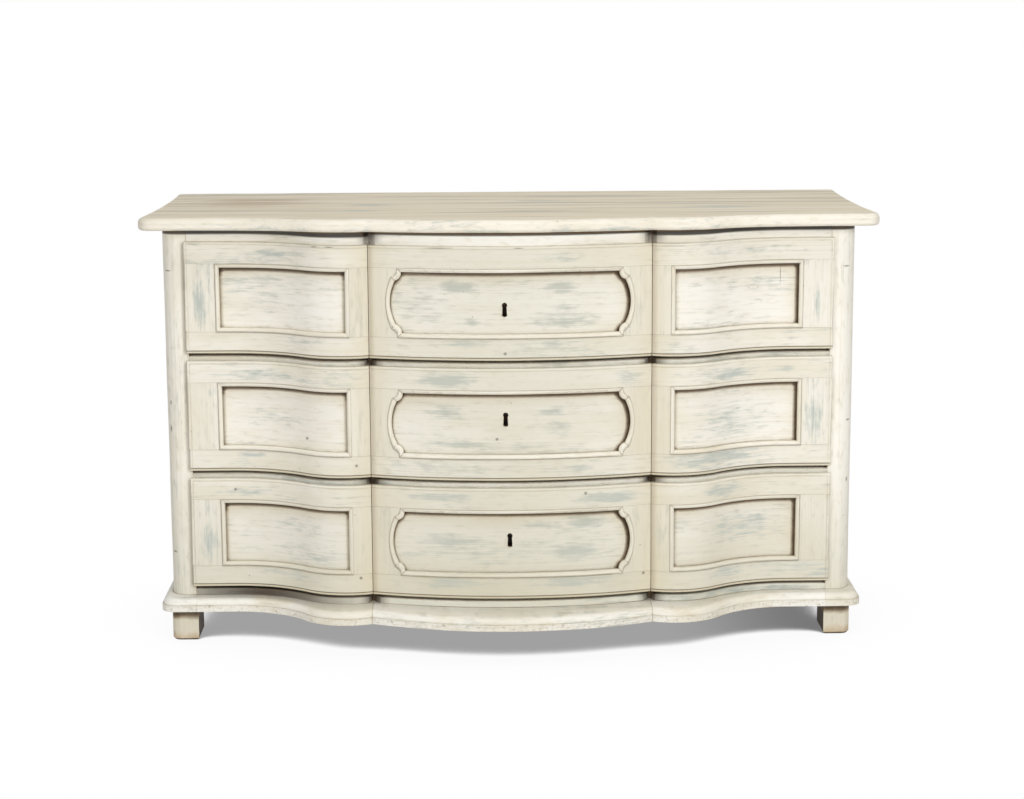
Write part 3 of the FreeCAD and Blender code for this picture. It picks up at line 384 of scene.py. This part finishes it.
def make_boards(node, material, slot, widths, grain=None, depth=None, own_width=None):
    """A finished piece that stands for a node; its pattern hardly changes along its depth.

    Widths are those of its worn edges, in metres. Without a grain, a board's grain is its longest axis."""
    chance = random.Random(node)
    whole = bmesh.new()
    whole.verts.layers.float_vector.new("grain_place")
    whole.verts.layers.float.new("tone")
    points, solids = node_solids(node)
    for faces in solids:
        board = solid_mesh(points, faces)
        low, high = extent(board)
        lengths = list(high - low)
        longest = lengths.index(max(lengths))
        if depth is None:
            cut_across(board, longest, low, high)
        if widths:
            wear_edges(board, widths, own_width)
        finish_board(board, whole, WAVE_HEIGHTS[slot], grain or "XYZ"[longest], depth, chance)
    for edge in whole.edges:
        edge.smooth = edge.calc_face_angle(0) < SMOOTH_ANGLE
    for face in whole.faces:
        face.smooth = True
    mesh = bpy.data.meshes.new(node + "_finish")
    whole.to_mesh(mesh)
    whole.free()
    piece = bpy.data.objects.new(node + "_finish", mesh)
    bpy.context.scene.collection.objects.link(piece)
    mesh.materials.append(material)
    even = piece.modifiers.new("even_shading", "WEIGHTED_NORMAL")
    even.keep_sharp = True
    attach(piece, frame["nodes"][node]["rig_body"])
    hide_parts(node)


def worn(kind):
    """The one width of a kind of piece's worn edges, in metres."""
    return (EDGE_WEAR[kind] * MILLIMETRE,)


# Materials

# Sockets of a mix node for colours
MIX_SHARE = 0
MIX_FIRST = 6
MIX_SECOND = 7
MIX_RESULT = 2


class Finish:
    """A node material that is built up step by step."""

    def __init__(self, name):
        """An empty finish: places in the chest's own frame and along the grain, and the face's normal."""
        self.material = bpy.data.materials.new(name)
        self.material.use_nodes = True
        self.tree = self.material.node_tree
        self.shader = self.tree.nodes["Principled BSDF"]
        self.place = self.add("TexCoord").outputs["Object"]
        self.across = self.axis(self.place, "X")
        self.height = self.axis(self.place, "Z")
        self.normal = self.add("NewGeometry").outputs["Normal"]
        self.grain = self.attribute("grain_place", "Vector")

    def add(self, kind, inputs=None, **settings):
        """A node with its inputs and settings."""
        node = self.tree.nodes.new("ShaderNode" + kind)
        for name, value in settings.items():
            setattr(node, name, value)
        for name, value in (inputs or {}).items():
            self.feed(node.inputs[name], value)
        return node

    def feed(self, socket, value):
        """Link another socket to a socket, or set its value."""
        if isinstance(value, bpy.types.NodeSocket):
            self.tree.links.new(value, socket)
        else:
            socket.default_value = value

    def attribute(self, name, output):
        """What a mesh notes at its points."""
        return self.add("Attribute", attribute_name=name).outputs[output]

    def axis(self, vector, name):
        """One axis of a vector."""
        return self.add("SeparateXYZ", {0: vector}).outputs[name]

    def pattern(self, name, place=None):
        """A named noise pattern, along the grain unless another place is given."""
        waves, facts = PATTERNS[name]
        if place is None:
            place = self.grain
        spread = self.add("VectorMath", {0: place, 1: waves}, operation="MULTIPLY").outputs[0]
        return self.add("TexNoise", {**PLAIN_NOISE, **facts, "Vector": spread}).outputs["Fac"]

    def between(self, value, low, high, start=0.0, end=1.0):
        """A soft step from start to end as a value goes from low to high."""
        facts = {"Value": value, "From Min": low, "From Max": high, "To Min": start, "To Max": end}
        return self.add("MapRange", facts, interpolation_type="SMOOTHSTEP").outputs["Result"]

    def times(self, first, second):
        """Two values multiplied."""
        return self.add("Math", {0: first, 1: second}, operation="MULTIPLY").outputs[0]

    def plus(self, first, second):
        """Two values added."""
        return self.add("Math", {0: first, 1: second}, operation="ADD").outputs[0]

    def blend(self, first, second, share):
        """A share of one value and the rest of another."""
        return self.plus(self.times(first, share), self.times(second, 1 - share))

    def most(self, first, *others):
        """The largest of some values."""
        for other in others:
            first = self.add("Math", {0: first, 1: other}, operation="MAXIMUM").outputs[0]
        return first

    def mix(self, tint, over, share):
        """A share of another colour over a tint."""
        node = self.add("Mix", data_type="RGBA")
        self.feed(node.inputs[MIX_SHARE], share)
        self.feed(node.inputs[MIX_FIRST], tint)
        self.feed(node.inputs[MIX_SECOND], over)
        return node.outputs[MIX_RESULT]

    def coat(self, tint, over, value, low, high, share):
        """Another colour over a tint, from none of it to a share as a value goes from low to high."""
        return self.mix(tint, over, self.between(value, low, high, end=share))

    def dab(self, tint, over, where, share):
        """A share of another colour over a tint, in a place."""
        return self.mix(tint, over, self.times(where, share))

    def spot(self, middle, half):
        """1 in the middle of a place, 0 beyond its rim; an axis whose half is 0 does not count."""
        scale = [1 / length if length else 0 for length in half]
        shift = [-start * share for start, share in zip(middle, scale)]
        facts = {0: self.place, 1: scale, 2: shift}
        inside = self.add("VectorMath", facts, operation="MULTIPLY_ADD").outputs[0]
        away = self.add("VectorMath", {0: inside}, operation="LENGTH").outputs["Value"]
        return self.between(away, SPOT_RIM, 0.0)

    def front_spot(self, across, up, half_width, half_height, level=0.0):
        """A spot on the front, above a level, its place and size in millimetres."""
        middle = (across * MILLIMETRE, 0, level + up * MILLIMETRE)
        return self.spot(middle, (half_width * MILLIMETRE, 0, half_height * MILLIMETRE))

    def top_spot(self, across, deep, half_width, half_depth):
        """A spot on the top, its place and size in millimetres."""
        middle = (across * MILLIMETRE, deep * MILLIMETRE, 0)
        return self.spot(middle, (half_width * MILLIMETRE, half_depth * MILLIMETRE, 0))

    def sideways(self):
        """How far a place is from the middle of the chest, to the right or to the left."""
        return self.add("Math", {0: self.across}, operation="ABSOLUTE").outputs[0]

    def at_creases(self, before, after):
        """1 at the two creases, falling to 0 a little before and a little after each of them."""
        shades = []
        for crease in (-CREASE_X, CREASE_X):
            rise = self.between(self.across, crease - before, crease)
            fall = self.between(self.across, crease + after, crease)
            shades.append(self.times(rise, fall))
        return self.most(*shades)

    def recess(self, reach, lean=(0, 0, 0), samples=FEW_RAYS):
        """How much a place is closed in by its surroundings on the side it leans to, from 0 to 1."""
        leaning = self.add("VectorMath", {0: self.normal, 1: lean}, operation="ADD").outputs[0]
        leaning = self.add("VectorMath", {0: leaning}, operation="NORMALIZE").outputs[0]
        facts = {"Distance": reach, "Normal": leaning}
        open_share = self.add("AmbientOcclusion", facts, samples=samples).outputs["AO"]
        return self.add("Math", {0: 1.0, 1: open_share}, operation="SUBTRACT").outputs[0]

    def edge(self, reach):
        """How close a place is to an edge."""
        rounded = self.add("Bevel", {"Radius": reach}, samples=FEW_RAYS).outputs["Normal"]
        facts = {0: rounded, 1: self.normal}
        same = self.add("VectorMath", facts, operation="DOT_PRODUCT").outputs["Value"]
        return self.add("Math", {0: 1.0, 1: same}, operation="SUBTRACT").outputs[0]

    def finish(self, tint, roughness, relief, depth):
        """The whole material, with a relief of some depth in metres."""
        bump = self.add("Bump", {"Height": relief, "Distance": depth, "Strength": 1.0}).outputs["Normal"]
        self.feed(self.shader.inputs["Base Color"], tint)
        self.feed(self.shader.inputs["Roughness"], roughness)
        self.feed(self.shader.inputs["Normal"], bump)
        return self.material


def colour(red, green, blue):
    """A colour as it is read from a screen, 0 to 255, for a shader."""
    shares = [value / 255 for value in (red, green, blue)]
    linear = [((share + 0.055) / 1.055) ** 2.4 if share > 0.04045 else share / 12.92 for share in shares]
    return (*linear, 1.0)


CREAM = colour(240, 235, 222)
PANEL_CREAM = colour(247, 243, 233)
TRIM_CREAM = colour(239, 233, 218)
POST_CREAM = colour(251, 247, 236)
FOOT_CREAM = colour(230, 222, 203)
OLD_WHITE = colour(251, 248, 240)
TOP_BEIGE = colour(246, 239, 224)
TOP_TAN = colour(238, 226, 199)
TAN = colour(220, 209, 181)
STAIN = colour(176, 148, 112)
RAIL_GREY = colour(238, 238, 228)
BLUE_GREY = colour(184, 191, 184)
LOW_GREY = colour(198, 193, 170)
DUST = colour(206, 206, 194)
OCHRE = colour(204, 185, 142)
# Browns of grime and of painted shade in corners, creases and gaps; also of specks, holes, knots and joints
GRIME_AND_SHADE = colour(126, 95, 48)
DEEP_GRIME_AND_SHADE = colour(56, 40, 19)
# Near-black brown of the shadow painted close under the top
UNDER_TOP_SHADOW = colour(34, 26, 15)
BARE_WOOD = colour(190, 158, 112)
PINE_LIGHT = colour(196, 160, 112)
PINE_DARK = colour(140, 100, 62)
PINE_FIBRE = colour(120, 84, 52)
PINE_GREY = colour(150, 124, 94)
IRON = colour(44, 39, 35)
RUST = colour(96, 62, 42)
FLOOR_GREY = colour(240, 240, 240)
FLOOR_PALE = colour(243, 243, 243)


# Paint, coat by coat


def first_coat(paint, base, streak, mottle, low_grey):
    """The paint itself: streaks, clouds and mottling, each board a little different, greyer low down."""
    tint = paint.coat(base, TAN, streak, low=0.48, high=0.78, share=0.33)
    tint = paint.coat(tint, OLD_WHITE, streak, low=0.5, high=0.25, share=0.36)
    tint = paint.coat(tint, TAN, paint.pattern("cloud"), low=0.42, high=0.72, share=0.45)
    tint = paint.coat(tint, TAN, mottle, low=0.5, high=0.75, share=0.3)
    tint = paint.coat(tint, TAN, paint.attribute("tone", "Fac"), low=0.0, high=1.0, share=0.1)
    return paint.coat(tint, LOW_GREY, paint.height, *LOW_HEIGHTS, share=low_grey)


def cool_patches(paint, tint, brush, patches, places, level):
    """A cooler coat that shows by chance and in worn places, broken up by the brush's marks."""
    cool = paint.between(paint.pattern("patch"), low=0.42, high=0.72, end=patches)
    for *place, share in places:
        cool = paint.most(cool, paint.times(paint.front_spot(*place, level), share))
    cool = paint.times(cool, COOL_STRENGTH)
    cover = paint.plus(cool, paint.plus(brush, -BRUSH_MIDDLE))
    return paint.coat(tint, BLUE_GREY, cover, low=0.12, high=1.05, share=0.9)


def rubbed_edges(paint, tint):
    """An ochre ground that shows where edges are scuffed."""
    edge = paint.between(paint.edge(EDGE_REACH), low=0.03, high=0.16)
    scuff = paint.between(paint.pattern("scuff"), low=0.4, high=0.64)
    return paint.dab(tint, OCHRE, edge, paint.times(scuff, SCUFF_SHARE))


def panel_lean(paint):
    """The side from which a panel's corners get grime and painted shade."""
    left_end = -CREASE_X
    sideways = paint.between(paint.across, left_end - NEAR, left_end, LEFT_PANEL_LEAN, PANEL_LEAN)
    return paint.add("CombineXYZ", {"X": sideways, "Z": GRIME_AND_SHADE_LEAN[2]}).outputs[0]


def rim_grime_and_shade(paint, high):
    """The share of grime and painted shade left at a drawer's upper and outer edges, given its highest
    corner.
    """
    upper, side = [[end - start for start in RIM_FADE] for end in (high.z, high.x)]
    rim = paint.most(paint.between(paint.height, *upper), paint.between(paint.sideways(), *side))
    return paint.between(rim, low=0.0, high=1.0, start=1.0, end=RIM_GRIME_AND_SHADE)


def panel_grime_and_shade(paint, high):
    """The share of grime and painted shade left in a drawer's panels: the left panel has less below its
    upper edge.
    """
    left = paint.between(paint.across, -CREASE_X, -CREASE_X - NEAR, end=LEFT_LIGHTER_SHARE)
    lighter_from = high.z - LEFT_LIGHTER_BELOW
    lighter = paint.between(paint.height, lighter_from, lighter_from - LEFT_LIGHTER_FADE)
    return paint.between(paint.times(left, lighter), low=0.0, high=1.0, start=1.0, end=0.0)


def corner_grime(paint, tint, reach=0.012, start=0.18, span=0.3, grime=0.97, sunk=False, rim_corner=None):
    """Brown grime and painted shade in the corners, darker deep inside them.

    It starts where a corner is closed in by a start share and is full after a span. Sunk panels have an
    ochre halo of painted shade too. A drawer, whose highest corner is given, has less of it along its
    edges."""
    lean = panel_lean(paint) if sunk else GRIME_AND_SHADE_LEAN
    if sunk:
        # An ochre halo of painted soft shade along the sunk edges
        halo = paint.recess(HALO_REACH, lean, CORNER_RAYS)
        tint = paint.coat(tint, OCHRE, halo, low=0.08, high=0.5, share=0.45)
    recess = paint.recess(reach, lean, CORNER_RAYS)
    amount = paint.between(paint.pattern("amount"), low=0.25, high=0.75, start=0.8, end=1.0)
    if rim_corner:
        amount = paint.times(amount, rim_grime_and_shade(paint, rim_corner))
    if sunk:
        amount = paint.times(amount, panel_grime_and_shade(paint, rim_corner))
    amount = paint.times(amount, grime)
    # Brown and deep brown over the corners: grime, and painted shade where a corner is closed in
    tint = paint.dab(tint, GRIME_AND_SHADE, paint.between(recess, start, start + span), amount)
    deep = paint.between(recess, *[start + share * span for share in DEEP_SPAN])
    return paint.dab(tint, DEEP_GRIME_AND_SHADE, deep, amount)


def specks(paint, tint):
    """A few small specks."""
    cells = paint.add("TexVoronoi", {"Vector": paint.place, "Scale": SPECK_CELLS}).outputs
    chosen = paint.add("SeparateColor", {0: cells["Color"]}).outputs["Red"]
    rare = paint.between(chosen, low=0.93, high=0.96, end=0.8)
    return paint.dab(tint, GRIME_AND_SHADE, paint.between(cells["Distance"], *SPECK_EDGE), rare)


def old_paint(name, base, patches=0.35, low_grey=0.5, worn_places=(), level=0.0, marks=None, **corners):
    """Rubbed paint over pine: streaks along the grain, cool patches, worn edges, marks, grime and painted
    shade.

    Corners are values for the corner grime and painted shade."""
    paint = Finish(name)
    streak = paint.pattern("streak")
    fibre = paint.pattern("fibre")
    mottle = paint.pattern("mottle")
    brush = paint.plus(streak, paint.times(fibre, BRUSH_STRENGTH))
    brush = paint.plus(brush, paint.times(mottle, BRUSH_STRENGTH))
    tint = first_coat(paint, base, streak, mottle, low_grey)
    tint = cool_patches(paint, tint, brush, patches, worn_places, level)
    tint = rubbed_edges(paint, tint)
    if marks:
        tint = marks(paint, tint)
    tint = corner_grime(paint, tint, **corners)
    tint = specks(paint, tint)
    relief = paint.blend(streak, fibre, share=0.6)
    roughness = paint.between(streak, low=0.2, high=0.8, start=0.5, end=0.68)
    return paint.finish(tint, roughness, relief, depth=0.0007)


# Marks of single kinds of pieces, painted shade and shadows among them, between the worn edges and the
# corner grime and shade


def small_marks(paint, tint, places, level=0.0):
    """Nail holes, knots and cracks."""
    for place in places:
        tint = paint.dab(tint, DEEP_GRIME_AND_SHADE, paint.front_spot(*place, level), share=0.75)
    return tint


def drawer_marks(drawer, level):
    """A greyer middle, painted shade at the creases, in the lower quirk and on the tan lower bead, small
    holes.
    """
    def marks(paint, tint):
        """The marks of this drawer."""
        tint = paint.dab(tint, LOW_GREY, paint.spot((0, 0, 0), CENTRE_HALF), share=0.4)
        # Painted shade in the crease valleys: broad and tan, then narrow and brown mostly to the right
        tint = paint.dab(tint, TAN, paint.at_creases(before=0.06, after=0.06), share=0.55)
        tint = paint.dab(tint, GRIME_AND_SHADE, paint.at_creases(before=0.001, after=0.015), share=0.35)
        # A tan band of painted shade along the lower bead
        bead = paint.between(paint.height, *[level + up for up in BEAD_FADE])
        tint = paint.dab(tint, TAN, bead, share=0.7)
        # Painted shade in the groove of the lower quirk
        quirk = paint.spot((0, 0, level + QUIRK_LEVEL), QUIRK_HALF)
        tint = paint.dab(tint, DEEP_GRIME_AND_SHADE, quirk, share=0.7)
        return small_marks(paint, tint, DRAWER_MARKS[drawer], level)
    return marks


def shadow_under_top(paint, tint):
    """A shadow painted close under the top, less of it in the centre."""
    lift = paint.between(paint.sideways(), CREASE_X - TOP_SHADOW_FADE, CREASE_X, CENTRE_SHADOW_LIFT, 0.0)
    level = paint.plus(paint.height, paint.times(lift, -1.0))
    # Painted shadow in a band just under the top
    close = paint.between(level, TOP_SHADOW_LEVEL - TOP_SHADOW_FADE, TOP_SHADOW_LEVEL)
    return paint.dab(tint, UNDER_TOP_SHADOW, close, share=0.96)


def post_marks(paint, tint):
    """A few knots, and a shadow painted under the top."""
    return small_marks(paint, shadow_under_top(paint, tint), POST_MARKS)


def rail_marks(paint, tint):
    """Shadows painted under the top, around the upper ends of the creases, and in the gap under the left
    wing.
    """
    tint = shadow_under_top(paint, tint)
    for rail in RAILS:
        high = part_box(rail)[1].z
        for crease in (-CREASE_X, CREASE_X):
            # A shadow painted at the top of each rail where it meets a crease
            crease_shadow = paint.spot((crease + CREASE_SHADOW_SHIFT, 0, high), CREASE_SHADOW_HALF)
            tint = paint.dab(tint, DEEP_GRIME_AND_SHADE, crease_shadow, share=0.9)
    # A shadow painted in the gap under the left wing's bottom drawer
    return paint.dab(tint, DEEP_GRIME_AND_SHADE, paint.spot(LEFT_GAP_SHADOW, RAIL_GAP_SHADOW_HALF), share=0.95)


def top_marks(paint, tint):
    """A tan, streaked upper face with a brown stain and cool smears, its joint, a smeared lower nose."""
    flat = paint.between(paint.axis(paint.normal, "Z"), low=0.9, high=0.99)
    tint = paint.mix(tint, TOP_TAN, flat)
    streak = paint.pattern("top_streak")
    tint = paint.dab(tint, STAIN, flat, paint.between(streak, low=0.45, high=0.75, end=0.7))
    tint = paint.dab(tint, OLD_WHITE, flat, paint.between(streak, low=0.5, high=0.25, end=0.6))
    fray = paint.times(paint.plus(streak, -FRAY_MIDDLE), FRAY_STRENGTH)
    stain = paint.plus(paint.top_spot(*TOP_STAIN), fray)
    tint = paint.dab(tint, STAIN, flat, paint.between(stain, low=0.2, high=1.2, end=0.7))
    for place in TOP_SMEARS:
        smear = paint.plus(paint.top_spot(*place), fray)
        tint = paint.dab(tint, BLUE_GREY, flat, paint.between(smear, low=0.1, high=1.1, end=0.7))
    seam = paint.spot((0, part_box("top_rear_board")[0].y, 0), SEAM_HALF)
    tint = paint.dab(tint, GRIME_AND_SHADE, seam, paint.between(paint.across, *SEAM_FADE, start=0.35, end=0.8))
    smear = paint.between(paint.pattern("nose_smear"), low=0.45, high=0.7)
    under = paint.between(paint.height, *LOWER_NOSE)
    return paint.dab(tint, BLUE_GREY, paint.times(smear, under), share=0.8)


def base_marks(paint, tint):
    """Dust at the back of the ledge, a painted shadow there under the left wing, ochre stains, a dirty
    lower band, dark joints.
    """
    tint = paint.coat(tint, DUST, paint.recess(LEDGE_REACH), low=0.05, high=0.3, share=0.25)
    # A shadow painted on the ledge under the left wing's bottom drawer
    tint = paint.dab(tint, DEEP_GRIME_AND_SHADE, paint.spot(LEFT_GAP_SHADOW, BASE_GAP_SHADOW_HALF), share=0.7)
    stain = paint.pattern("base_stain", paint.place)
    tint = paint.coat(tint, OCHRE, stain, low=0.5, high=0.75, share=0.45)
    amount = paint.pattern("base_dirt", paint.place)
    amount = paint.between(amount, low=0.5, high=0.75, start=0.05, end=0.6)
    tint = paint.dab(tint, GRIME_AND_SHADE, paint.between(paint.height, *LOWER_BAND), amount)
    return paint.dab(tint, GRIME_AND_SHADE, paint.at_creases(before=0.0008, after=0.0015), share=0.5)


def foot_marks(paint, tint):
    """Bare, dirty wood at the bottom, and painted shade on the inner sides."""
    shift = paint.times(paint.pattern("foot_wear", paint.place), FOOT_WEAR_SHIFT)
    tint = paint.coat(tint, BARE_WOOD, paint.plus(paint.height, shift), *FOOT_WEAR, share=0.6)
    # Painted shade on the sides that face the other foot
    inward = paint.times(paint.axis(paint.normal, "X"), paint.across)
    return paint.coat(tint, DEEP_GRIME_AND_SHADE, inward, low=-0.25, high=-0.55, share=0.97)


# Pine and iron


def bare_pine(name):
    """Unpainted pine, darkened with age, with painted shade in its corners."""
    wood = Finish(name)
    rings = wood.pattern("pine_rings")
    fibre = wood.pattern("pine_fibre")
    tint = wood.coat(PINE_LIGHT, PINE_DARK, rings, low=0.42, high=0.66, share=0.7)
    tint = wood.coat(tint, PINE_FIBRE, fibre, low=0.5, high=0.8, share=0.5)
    tint = wood.coat(tint, PINE_GREY, wood.pattern("pine_cloud"), low=0.45, high=0.7, share=0.5)
    # Painted shade in the pine's corners
    tint = wood.coat(tint, DEEP_GRIME_AND_SHADE, wood.recess(PINE_SHADE_REACH), low=0.4, high=0.95, share=0.6)
    relief = wood.blend(rings, fibre, share=0.4)
    roughness = wood.between(fibre, low=0.3, high=0.7, start=0.6, end=0.8)
    return wood.finish(tint, roughness, relief, depth=0.0006)


def old_iron(name):
    """Dull iron with a bloom of rust."""
    iron = Finish(name)
    bloom = iron.pattern("rust", iron.place)
    tint = iron.coat(IRON, RUST, bloom, low=0.45, high=0.7, share=1.0)
    metal = iron.between(bloom, low=0.65, high=0.4, start=0.2, end=0.8)
    iron.feed(iron.shader.inputs["Metallic"], metal)
    roughness = iron.between(bloom, low=0.3, high=0.7, start=0.45, end=0.8)
    return iron.finish(tint, roughness, iron.pattern("iron_pits", iron.place), depth=0.0002)


# Stage


def add_camera():
    """The photo's view: place, turn and focal length."""
    data = bpy.data.cameras.new("camera")
    data.sensor_fit = "HORIZONTAL"
    data.sensor_width = SENSOR_WIDTH
    data.lens = FOCAL_PIXELS * SENSOR_WIDTH / PICTURE_WIDTH
    camera = bpy.data.objects.new("camera", data)
    bpy.context.scene.collection.objects.link(camera)
    level = Matrix.Rotation(math.radians(90) - CAMERA_PITCH, 4, "X")
    turn = Matrix.Rotation(-CAMERA_YAW, 4, "Z")
    roll = Matrix.Rotation(CAMERA_ROLL, 4, "Z")
    camera.matrix_world = Matrix.Translation(CAMERA_PLACE) @ turn @ level @ roll
    bpy.context.scene.camera = camera


def pale_floor(name):
    """White with a shadow where it is seen, pale grey where it lights the chest, clear far out."""
    pale = Finish(name)
    grey = pale.mix(FLOOR_GREY, FLOOR_PALE, pale.pattern("floor", pale.place))
    diffuse = pale.add("BsdfDiffuse", {"Color": grey}).outputs[0]
    rays = pale.add("LightPath").outputs
    seen = pale.most(*[rays[kind] for kind in SEEN_RAYS])
    light = pale.between(pale.across, *SHADOW_TURN, SHADOW_LIGHT, RIGHT_SHADOW_LIGHT)
    closed = pale.recess(SHADOW_REACH, samples=SHADOW_RAYS)
    shadow = pale.between(closed, *SHADOW_CLOSED, 1.0, light)
    closed = pale.recess(SHADOW_REACH, samples=OUTER_SHADOW_RAYS)
    shadow = pale.times(shadow, pale.between(closed, *OUTER_SHADOW_CLOSED, 1.0, OUTER_SHADOW_LIGHT))
    white = pale.add("Emission", {"Strength": shadow}).outputs[0]
    lit = pale.add("MixShader", {0: seen, 1: diffuse, 2: white}).outputs[0]
    away = pale.add("VectorMath", {0: pale.place}, operation="LENGTH").outputs["Value"]
    clear = pale.add("BsdfTransparent").outputs[0]
    mixed = pale.add("MixShader", {0: pale.between(away, *FLOOR_FADE), 1: lit, 2: clear}).outputs[0]
    pale.feed(pale.tree.nodes["Material Output"].inputs["Surface"], mixed)
    pale.tree.nodes.remove(pale.shader)
    return pale.material


def add_floor():
    """A pale floor that fades into the white surround."""
    sheet = bmesh.new()
    bmesh.ops.create_circle(sheet, cap_ends=True, segments=FLOOR_SIDES, radius=FLOOR_REACH)
    mesh = bpy.data.meshes.new("floor")
    sheet.to_mesh(mesh)
    sheet.free()
    floor = bpy.data.objects.new("floor", mesh)
    bpy.context.scene.collection.objects.link(floor)
    mesh.materials.append(pale_floor("pale_floor"))


def add_lamps():
    """Soft lamps, each turned to the chest."""
    for name, facts in LAMPS.items():
        data = bpy.data.lights.new(name, "AREA")
        data.size = facts["width"]
        data.energy = facts["share"] * math.pi ** 2 * facts["distance"] ** 2
        lamp = bpy.data.objects.new(name, data)
        bpy.context.scene.collection.objects.link(lamp)
        azimuth, elevation = math.radians(facts["azimuth"]), math.radians(facts["elevation"])
        towards = Vector((math.sin(azimuth), -math.cos(azimuth), math.tan(elevation))).normalized()
        lamp.location = LAMP_TARGET + towards * facts["distance"]
        lamp.rotation_euler = towards.to_track_quat("Z", "Y").to_euler()


def add_surround():
    """A surround that looks white and lights evenly."""
    world = bpy.data.worlds.new("surround")
    bpy.context.scene.world = world
    world.use_nodes = True
    tree = world.node_tree
    background = tree.nodes["Background"]
    background.inputs["Color"].default_value = (1, 1, 1, 1)
    rays = tree.nodes.new("ShaderNodeLightPath")
    seen = rays.outputs[SEEN_RAYS[0]]
    for name in SEEN_RAYS[1:]:
        either = tree.nodes.new("ShaderNodeMath")
        either.operation = "MAXIMUM"
        tree.links.new(seen, either.inputs[0])
        tree.links.new(rays.outputs[name], either.inputs[1])
        seen = either.outputs[0]
    strength = tree.nodes.new("ShaderNodeMapRange")
    strength.inputs["To Min"].default_value = SURROUND_STRENGTH
    strength.inputs["To Max"].default_value = 1.0
    tree.links.new(seen, strength.inputs["Value"])
    tree.links.new(strength.outputs["Result"], background.inputs["Strength"])


# The chest


def frame_edges(low, high):
    """Picks widths for the edges of a drawer's frames: round lips, fine quirks, tight joints."""
    joints = (low.z + FRAME_RAIL, high.z - FRAME_RAIL)

    def width(edge):
        """The width of one edge's wear."""
        middle = (edge.verts[0].co + edge.verts[1].co) / 2
        level = abs(edge.verts[0].co.z - edge.verts[1].co.z) < NEAR
        rim = min(middle.z - low.z, high.z - middle.z, high.x - abs(middle.x))
        front = any(face.normal.y < FRONT_FACING for face in edge.link_faces)
        if rim < NEAR and front:
            return LIP_ROUND
        if rim < QUIRK_BAND:
            return QUIRK_WEAR
        if level and any(abs(middle.z - joint) < NEAR for joint in joints):
            return JOINT_WEAR
        return FRAME_WEAR
    return width


def dress_case(paints, pine, iron):
    """The case that stands still."""
    def painted(node, paint, grain=None, depth=None, wear=None):
        """One painted piece; its edges are worn like others of its paint, unless another wear is named."""
        make_boards(node, paints[paint], "cream_paint", worn(wear or paint), grain, depth)

    for node in ("top_front_board", "top_rear_board"):
        painted(node, "top")
    for side in ("right", "left"):
        painted(side + "_front_post", "post")
        for node in ("rear_post", "side_panel"):
            painted("%s_%s" % (side, node), "side")
        for node in ("front_foot", "rear_foot"):
            painted("%s_%s" % (side, node), "foot", "Z")
        for node in ("wing", "corner"):
            painted("base_%s_%s" % (side, node), "base", "X", "Y")
        painted("base_%s_side" % side, "base", "Y", "X")
    painted("base_centre", "base", "X", "Y")
    painted("side_rails", "side", wear="side_rails")
    painted("top_rail", "top_rail", "X", "Y")
    for node in RAILS[1:]:
        painted(node, "rail", "X", "Y")
    for node in PINE_PIECES:
        make_boards(node, pine, "bare_pine", worn("pine"))
    make_boards("back_nails", iron, "old_iron", worn("nails"))


def dress_drawer(drawer, trim, pine, iron):
    """One drawer, with its own pattern of wear on the front."""
    name = drawer + "_drawer_"
    low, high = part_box(name + "frames")
    facts = {
        "worn_places": WORN_PLACES[drawer],
        "level": low.z,
        "marks": drawer_marks(drawer, low.z),
        "rim_corner": high,
    }
    cream = old_paint(name + "frame_paint", CREAM, grime=0.4, **facts)
    sunk = old_paint(
        name + "panel_paint", PANEL_CREAM, reach=0.011, start=0.13, span=0.18, sunk=True, **facts
    )
    make_boards(name + "front", sunk, "cream_paint", worn("front"), "X", "Y")
    own_width = frame_edges(low, high)
    make_boards(name + "frames", cream, "cream_paint", FRAME_WIDTHS, depth="Y", own_width=own_width)
    make_boards(name + "mouldings", trim, "cream_paint", (), depth="Y")
    for node in ("right_side", "left_side", "back", "bottom"):
        make_boards(name + node, pine, "bare_pine", worn("pine"))
    make_boards(name + "lock", iron, "old_iron", worn("lock"), depth="Y")
    make_boards(name + "bolt", iron, "old_iron", worn("lock"))


noise.seed_set(WAVE_SEED)
bpy.context.scene.view_settings.view_transform = "Standard"
add_camera()
add_floor()
add_lamps()
add_surround()
case_paints = {
    "top": old_paint("top_paint", TOP_BEIGE, marks=top_marks, reach=0.006),
    "post": old_paint("post_paint", POST_CREAM, patches=0.15, marks=post_marks, grime=0.4),
    "side": old_paint("side_paint", POST_CREAM, patches=0.3),
    "top_rail": old_paint("top_rail_paint", OLD_WHITE, patches=0.2, marks=rail_marks, reach=0.006),
    "rail": old_paint(
        "rail_paint", RAIL_GREY, patches=0.6, low_grey=0.2, marks=rail_marks, reach=0.01, start=0.15
    ),
    "base": old_paint("base_paint", OLD_WHITE, low_grey=0.1, marks=base_marks, reach=0.006, grime=0.6),
    "foot": old_paint("foot_paint", FOOT_CREAM, low_grey=0.2, marks=foot_marks, reach=0.024, start=0.11),
}
trim_paint = old_paint("trim_paint", TRIM_CREAM, patches=0.0, reach=0.008, grime=0.3)
pine_wood = bare_pine("bare_pine")
iron_metal = old_iron("old_iron")
dress_case(case_paints, pine_wood, iron_metal)
for drawer in DRAWERS:
    dress_drawer(drawer, trim_paint, pine_wood, iron_metal)
